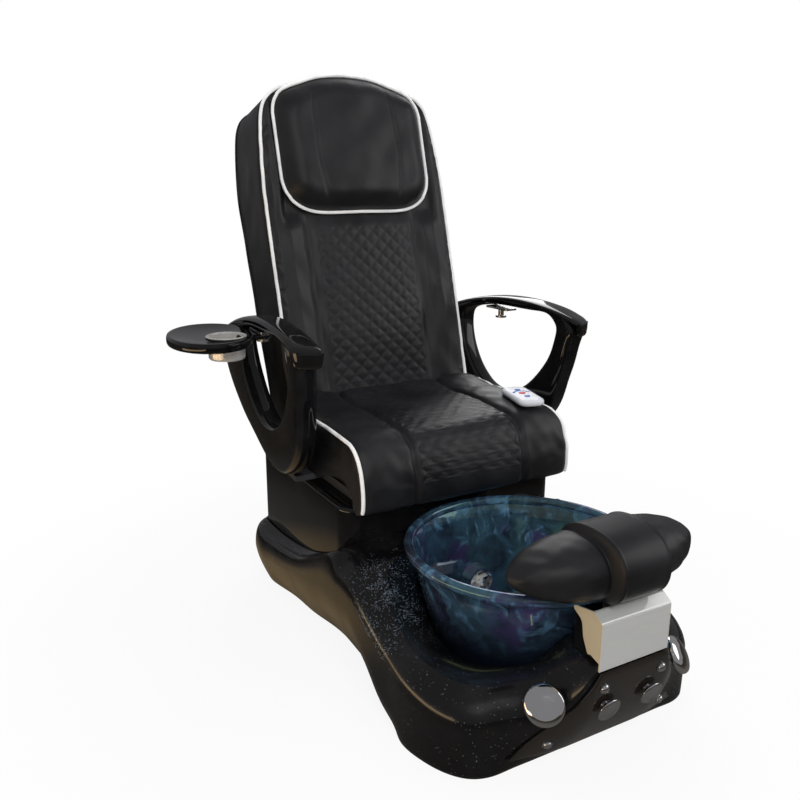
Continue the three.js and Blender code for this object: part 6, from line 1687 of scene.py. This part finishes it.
ARM_LOOP = [
    # outer (y, z), inner (y, z)
    (-50, 742, 12, 735), (-62, 722, 3, 722), (-57, 688, 5, 688), (-45, 632, 19, 642),
    (-30, 580, 48, 598), (-12, 518, 82, 562), (32, 456, 120, 534), (96, 412, 164, 515),
    (162, 397, 206, 509), (225, 402, 240, 511), (280, 420, 270, 520), (345, 448, 298, 536),
    (412, 479, 328, 560), (474, 521, 352, 588), (526, 570, 371, 618), (554, 620, 385, 652),
    (556, 660, 391, 686), (538, 682, 387, 709), rail_station(490, 366), rail_station(400, 334),
    rail_station(270, 240), rail_station(110, 90),
]


def onto_arm(points, side):
    """From the arm's own plane to its splayed place, leaning in towards its foot."""
    turn = side * ARM_SPLAY
    x, y = points[..., 0], points[..., 1]
    x = x - side * ARM_LEAN * np.maximum(0, ARM_LEAN_TOP - points[..., 2])
    return np.stack([
        x * math.cos(turn) - y * math.sin(turn) + side * ARM_X,
        x * math.sin(turn) + y * math.cos(turn),
        points[..., 2],
    ], -1)


class SPA_OT_arms(bpy.types.Operator):
    """Shield-shaped arms: a rounded section carried round a closed spline of outer and inner edges."""

    bl_idname = "spa_chair.arms"
    bl_label = "Armrests"

    def execute(self, context):
        loop = np.array(ARM_LOOP, float)
        net = np.stack([np.column_stack([np.zeros(len(loop)), loop[:, :2]]),
                        np.column_stack([np.zeros(len(loop)), loop[:, 2:]])], 1)
        fine = spline(net, 9, closed=True)
        outer, inner = fine[:, 0], fine[:, 1]
        section = self.section()
        width = np.linalg.norm(inner - outer, axis=1)
        edge = np.minimum(15, width * 0.32)[:, None]
        along = (section[:, 0][None] * edge + section[:, 1][None] * (width[:, None] - edge)) / width[:, None]
        x = section[:, 2][None] * ARM_THICKNESS / 2 * (1 - 0.03 * np.cos(along * math.pi))
        grid = outer[:, None] + (inner - outer)[:, None] * along[..., None]
        grid[..., 0] = x
        for label, side in SIDES:
            add_piece(f"arm_{label}_moulding", onto_arm(grid, side), "gelcoat", "seat", [f"arm_{label}"],
                      "gelcoat", **LOOPED)
            self.pad(label, side)
        return {"FINISHED"}

    def section(self):
        """Rounded rectangle as (share of the edge round, share of the width, half thickness)."""
        points = []
        for a in np.linspace(-math.pi / 2, math.pi / 2, 13):
            points.append((1 - math.cos(a), 0.0, math.copysign(abs(math.sin(a)) ** 0.75, a)))
        for a in np.linspace(math.pi / 2, -math.pi / 2, 13):
            points.append((math.cos(a), 1.0, math.copysign(abs(math.sin(a)) ** 0.75, a)))
        return np.array(points)

    def pad(self, label, side):
        """Pad along the rail's arc with a cap over its front end."""
        y = np.concatenate([
            PAD_FRONT + PAD_ROUND * (1 - np.cos(np.linspace(0, math.pi / 2, 10))),
            np.linspace(PAD_FRONT + 40, PAD_REAR - 40, 40),
            PAD_REAR - PAD_ROUND * (1 - np.sin(np.linspace(0, math.pi / 2, 10))),
        ])[:, None]
        ends = np.minimum((y - PAD_FRONT) / PAD_ROUND, (PAD_REAR - y) / PAD_ROUND)
        full = np.sqrt(np.clip(1 - (1 - np.clip(ends, 0, 1)) ** 2, 0, 1))
        wide = PAD_HALF * (0.62 + 0.38 * full)
        high = (ARC_PAD - ARC_RAIL - PAD_GAP) * (0.35 + 0.65 * full)
        turn = np.linspace(0, 2 * math.pi, 40, endpoint=False)[None, :]
        across = np.sign(np.cos(turn)) * np.abs(np.cos(turn)) ** 0.55
        lift = np.clip(np.sin(turn), -0.12, 1)
        lift = np.sign(lift) * np.abs(lift) ** 0.7
        radius = ARC_RAIL + PAD_GAP + high * np.maximum(lift, 0) + 0.4
        grid = np.stack([wide * across, y + 0 * turn, on_arc(radius, y + 0 * turn)], -1)
        build = Builder()
        for part in (grid, self.cap()):
            build.grid(onto_arm(self.skewed(part, side), side), **CAPPED)
        piece = build.make(f"arm_pad_{label}_top", finishes()["gelcoat"], 70)
        finish_piece(piece, f"pad_{label}", [f"arm_pad_{label}"])

    def skewed(self, grid, side):
        """Front end cut at a slant: its inner corner reaches further forward than its outer one."""
        moved = grid.copy()
        slant = PAD_SLANT * (1 - smoothstep(grid[..., 1], PAD_FRONT, PAD_FRONT + 110))
        moved[..., 1] += slant * (side * grid[..., 0] + PAD_HALF * 0.5)
        return moved

    def cap(self):
        """Tongue that hangs from the pad's front end, rounded at its foot."""
        rings = []
        middle = PAD_FRONT + CAP_INSET
        top = float(on_arc(ARC_RAIL + 6, middle))
        for z, wide, deep in CAP_LEVELS + [(top, 0.94, 7.4)]:
            ring = rounded_ring(PAD_HALF * wide, middle - deep, middle + deep, min(6, deep * 0.9), 6)
            rings.append(at_height(ring, z))
        return np.array(rings)


# ---------------------------------------------------------------- tray, cup and remote


class SPA_OT_tray(bpy.types.Operator):
    """Oval tray with a cup hole, its swivel neck and the steel cup."""

    bl_idname = "spa_chair.tray"
    bl_label = "Tray and cup"

    def execute(self, context):
        bottom, top = node_heights("tray")
        build = Builder().grid(self.plate(bottom - 5, top), **LOOPED)
        build.grid(self.neck(bottom + 2, top - 2), **LOOPED)
        piece = build.make("tray_moulding", finishes()["gelcoat"], 45)
        finish_piece(piece, "tray", ["tray"])
        self.cup()
        return {"FINISHED"}

    def plate(self, bottom, top):
        """Ruled ring between the cup hole's circle and the tray's ellipse, with a rolled rim."""
        angle = np.linspace(0, 2 * math.pi, 128, endpoint=False)[:, None]
        c, s = math.cos(TRAY_TURN), math.sin(TRAY_TURN)
        def ellipse(inset):
            a, b = (TRAY_HALF[0] - inset) * np.cos(angle), (TRAY_HALF[1] - inset) * np.sin(angle)
            return np.hstack([TRAY_PLACE[0] + a * c - b * s, TRAY_PLACE[1] + a * s + b * c])
        def hole(radius):
            return np.hstack([CUP_PLACE[0] + radius * np.cos(angle), CUP_PLACE[1] + radius * np.sin(angle)])
        turn = np.linspace(-math.pi / 2, math.pi / 2, 13)
        rim = 6.0
        middle, rise = (bottom + top) / 2, (top - bottom) / 2
        floor = top - 1.6
        rows = [(hole(CUP_RADIUS + CUP_PLAY), bottom), (ellipse(12), bottom)]
        for t in turn:
            height = middle + rise * math.copysign(abs(math.sin(t)) ** 0.8, t)
            rows.append((ellipse(rim * (1 - math.cos(t) ** 0.7)), height))
        rows += [(ellipse(13), top - 0.6), (ellipse(16), floor)]
        rows += [(hole(CUP_RADIUS + 8), floor), (hole(CUP_RADIUS + CUP_PLAY), floor)]
        return np.stack([at_height(ring, z) for ring, z in rows], 1)

    def neck(self, bottom, top):
        """Ring round the pin's hole, drawn out towards the tray."""
        angle = np.linspace(0, 2 * math.pi, 72, endpoint=False)
        out = np.clip(-np.cos(angle), 0, 1) ** 1.6
        reach = 20 + 46 * out
        wide = 20 + 24 * out
        def ring(along, across):
            x, y = TRAY_PIN
            return np.column_stack([x + along * np.cos(angle), y + across * np.sin(angle)])
        hole, full, drawn = ring(PIN_HOLE, PIN_HOLE), ring(reach, wide), ring(reach - 3, wide - 3)
        rows = [(hole, bottom), (drawn, bottom), (full, bottom + 3)]
        rows += [(full, top - 3), (drawn, top), (hole, top)]
        return np.stack([at_height(row, z) for row, z in rows], 1)

    def cup(self):
        """Spun steel cup with a rolled lip, all in brushed steel."""
        bottom, top = node_heights("cup_holder")
        radius = CUP_RADIUS
        profile = softened([
            (0.0, bottom), (radius - 3, bottom), (radius, bottom + 4), (radius, top - 3),
            (radius + 5, top - 3), (radius + 5.4, top - 1.4), (radius + 2, top), (radius - 1.5, top - 0.6),
            (radius - 2, top - 5), (radius - 2, bottom + 4), (radius - 6, bottom + 2), (0.0, bottom + 2),
        ], 1.5)
        grid = turned(profile, 96) + np.array([*CUP_PLACE, 0])
        add_piece("cup_holder_cup", grid, "brushed", "tray", ["cup_holder"], "bright_steel",
                  angle=60, **TURNED)


REMOTE_PLACE = (226.0, -34.0)
REMOTE_TURN = math.radians(-14)
REMOTE_HALF = (34.0, 72.0)
REMOTE_CORNER = 20.0
REMOTE_ROUND = 9.0
REMOTE_KEYS = (
    # label, place across and along, radius, finish
    ("power", 0.0, 2.0, 9.0, "red"),
    ("up", 0.0, 34.0, 7.0, "blue"),
    ("down", 0.0, -30.0, 7.0, "blue"),
)
TOUCH_PADS = 8
TOUCH_CIRCLE = 21.0


def onto_remote(points):
    """From the remote's own plane to its place on the seat."""
    c, s = math.cos(REMOTE_TURN), math.sin(REMOTE_TURN)
    x, y = points[..., 0], points[..., 1]
    return np.stack([x * c - y * s + REMOTE_PLACE[0], x * s + y * c + REMOTE_PLACE[1], points[..., 2]], -1)


class SPA_OT_remote(bpy.types.Operator):
    """Hand remote: a soft-edged case, an arc of raised touch pads and three keys."""

    bl_idname = "spa_chair.remote"
    bl_label = "Hand remote"

    def execute(self, context):
        bottom, top = node_heights("remote_shell")
        turn = np.linspace(-math.pi / 2, math.pi / 2, 13)
        middle, rise = (bottom + top) / 2, (top - bottom) / 2
        rings = []
        for t in turn:
            inset = REMOTE_ROUND * (1 - math.cos(t) ** 0.8)
            half, end = REMOTE_HALF[0] - inset, REMOTE_HALF[1] - inset
            ring = divided(rounded_ring(half, -end, end, REMOTE_CORNER - inset * 0.5, 7))
            rings.append(at_height(ring, middle + rise * math.sin(t)))
        if len({len(ring) for ring in rings}) > 1:
            raise RuntimeError("the remote's rings differ in their number of points")
        add_piece("remote_case", onto_remote(np.array(rings)), "remote", "seat", ["remote_shell"],
                  "remote_plastic", angle=60, **CAPPED)
        self.bezel(top)
        for label, x, y, radius, finish in REMOTE_KEYS:
            self.key(label, x, y, radius, finish)
        return {"FINISHED"}

    def bezel(self, top):
        """Blue arc of touch pads round the middle key: short flat pads on a circle."""
        build = Builder()
        low, high = top - 0.3, top + 0.9
        pad = turned([(0.0, low), (3.2, low), (3.2, top + 0.5), (2.4, high), (0.0, high)], 16)
        for k in range(TOUCH_PADS):
            angle = math.radians(20 + k * 20)
            place = np.array([TOUCH_CIRCLE * math.cos(angle), 2 + TOUCH_CIRCLE * math.sin(angle), 0])
            build.grid(onto_remote(pad + place), **TURNED)
        piece = build.make("remote_pads", finishes()["blue"], 50)
        finish_piece(piece, "seat", ())

    def key(self, label, x, y, radius, finish):
        """Domed key in its well."""
        bottom, top = node_heights(f"remote_{label}_key")
        dome = [(radius * math.cos(a), top - 1.6 + 1.6 * math.sin(a)) for a in np.linspace(0, math.pi / 2, 7)]
        profile = [(0.0, bottom), (radius, bottom)] + dome[:-1] + [(0.0, top)]
        grid = onto_remote(turned(profile, 32) + np.array([x, y, 0]))
        add_piece(f"remote_{label}_cap", grid, finish, f"{label}_key", [f"remote_{label}_key"],
                  f"{finish}_key", angle=50, **TURNED)


# ---------------------------------------------------------------- what stays as it is

KEPT = {
    "bracket": ["foot_bracket"],
    "gelcoat": ["foot_column"],
    "chrome": ["drain_body", "drain_plug", "jet_housing", "drain_valve", "mixer_valve"],
    "white": ["drain_pipe", "jet_impeller", "knead_wheel_right", "knead_wheel_left"],
    "moulding": ["bowl_stand", "drain_pump", "control_box"],
    "board": ["floor_board"],
    "frame": ["foot_post", "foot_hinge_plate", "slide_rail_right", "slide_rail_left", "slide_actuator_tube",
              "seat_frame", "back_frame", "recline_actuator_tube", "massage_carriage"],
    "steel": ["slide_actuator_rod", "recline_pin_right", "recline_pin_left", "recline_actuator_rod",
              "massage_track_right", "massage_track_left", "knead_shaft", "tray_bracket_right",
              "tray_bracket_left"],
}


class SPA_OT_works(bpy.types.Operator):
    """Finishes of the frame, the drives and the fittings that keep their own shape."""

    bl_idname = "spa_chair.works"
    bl_label = "Frame and drives"

    def execute(self, context):
        for finish, nodes in KEPT.items():
            for node in nodes:
                refinish(node, finishes()[finish])
        return {"FINISHED"}


OPERATORS = (
    SPA_OT_stage, SPA_OT_works, SPA_OT_base, SPA_OT_plinth, SPA_OT_bowl, SPA_OT_panel, SPA_OT_knobs,
    SPA_OT_footrest, SPA_OT_seat, SPA_OT_back_shell, SPA_OT_back_cushion, SPA_OT_pillow, SPA_OT_arms,
    SPA_OT_tray, SPA_OT_remote,
)


class SPA_PT_chair(bpy.types.Panel):
    """Lists the chair's pieces and their sizes."""

    bl_idname = "SPA_PT_chair"
    bl_label = "Spa chair"
    bl_space_type = "VIEW_3D"
    bl_region_type = "UI"
    bl_category = "Spa chair"

    def draw(self, context):
        layout = self.layout
        for group in (context.scene.spa_chair_sizes, context.scene.spa_chair_colours):
            for name in group.__annotations__:
                layout.prop(group, name)
        for operator in OPERATORS:
            layout.operator(operator.bl_idname)


CLASSES = (ChairSizes, ChairColours) + OPERATORS + (SPA_PT_chair,)


def register():
    for cls in CLASSES:
        bpy.utils.register_class(cls)
    bpy.types.Scene.spa_chair_sizes = PointerProperty(type=ChairSizes)
    bpy.types.Scene.spa_chair_colours = PointerProperty(type=ChairColours)


def unregister():
    del bpy.types.Scene.spa_chair_colours
    del bpy.types.Scene.spa_chair_sizes
    for cls in reversed(CLASSES):
        bpy.utils.unregister_class(cls)


def main():
    register()
    for operator in OPERATORS:
        getattr(bpy.ops.spa_chair, operator.bl_idname.split(".")[1])()


if __name__ == "__main__":
    main()
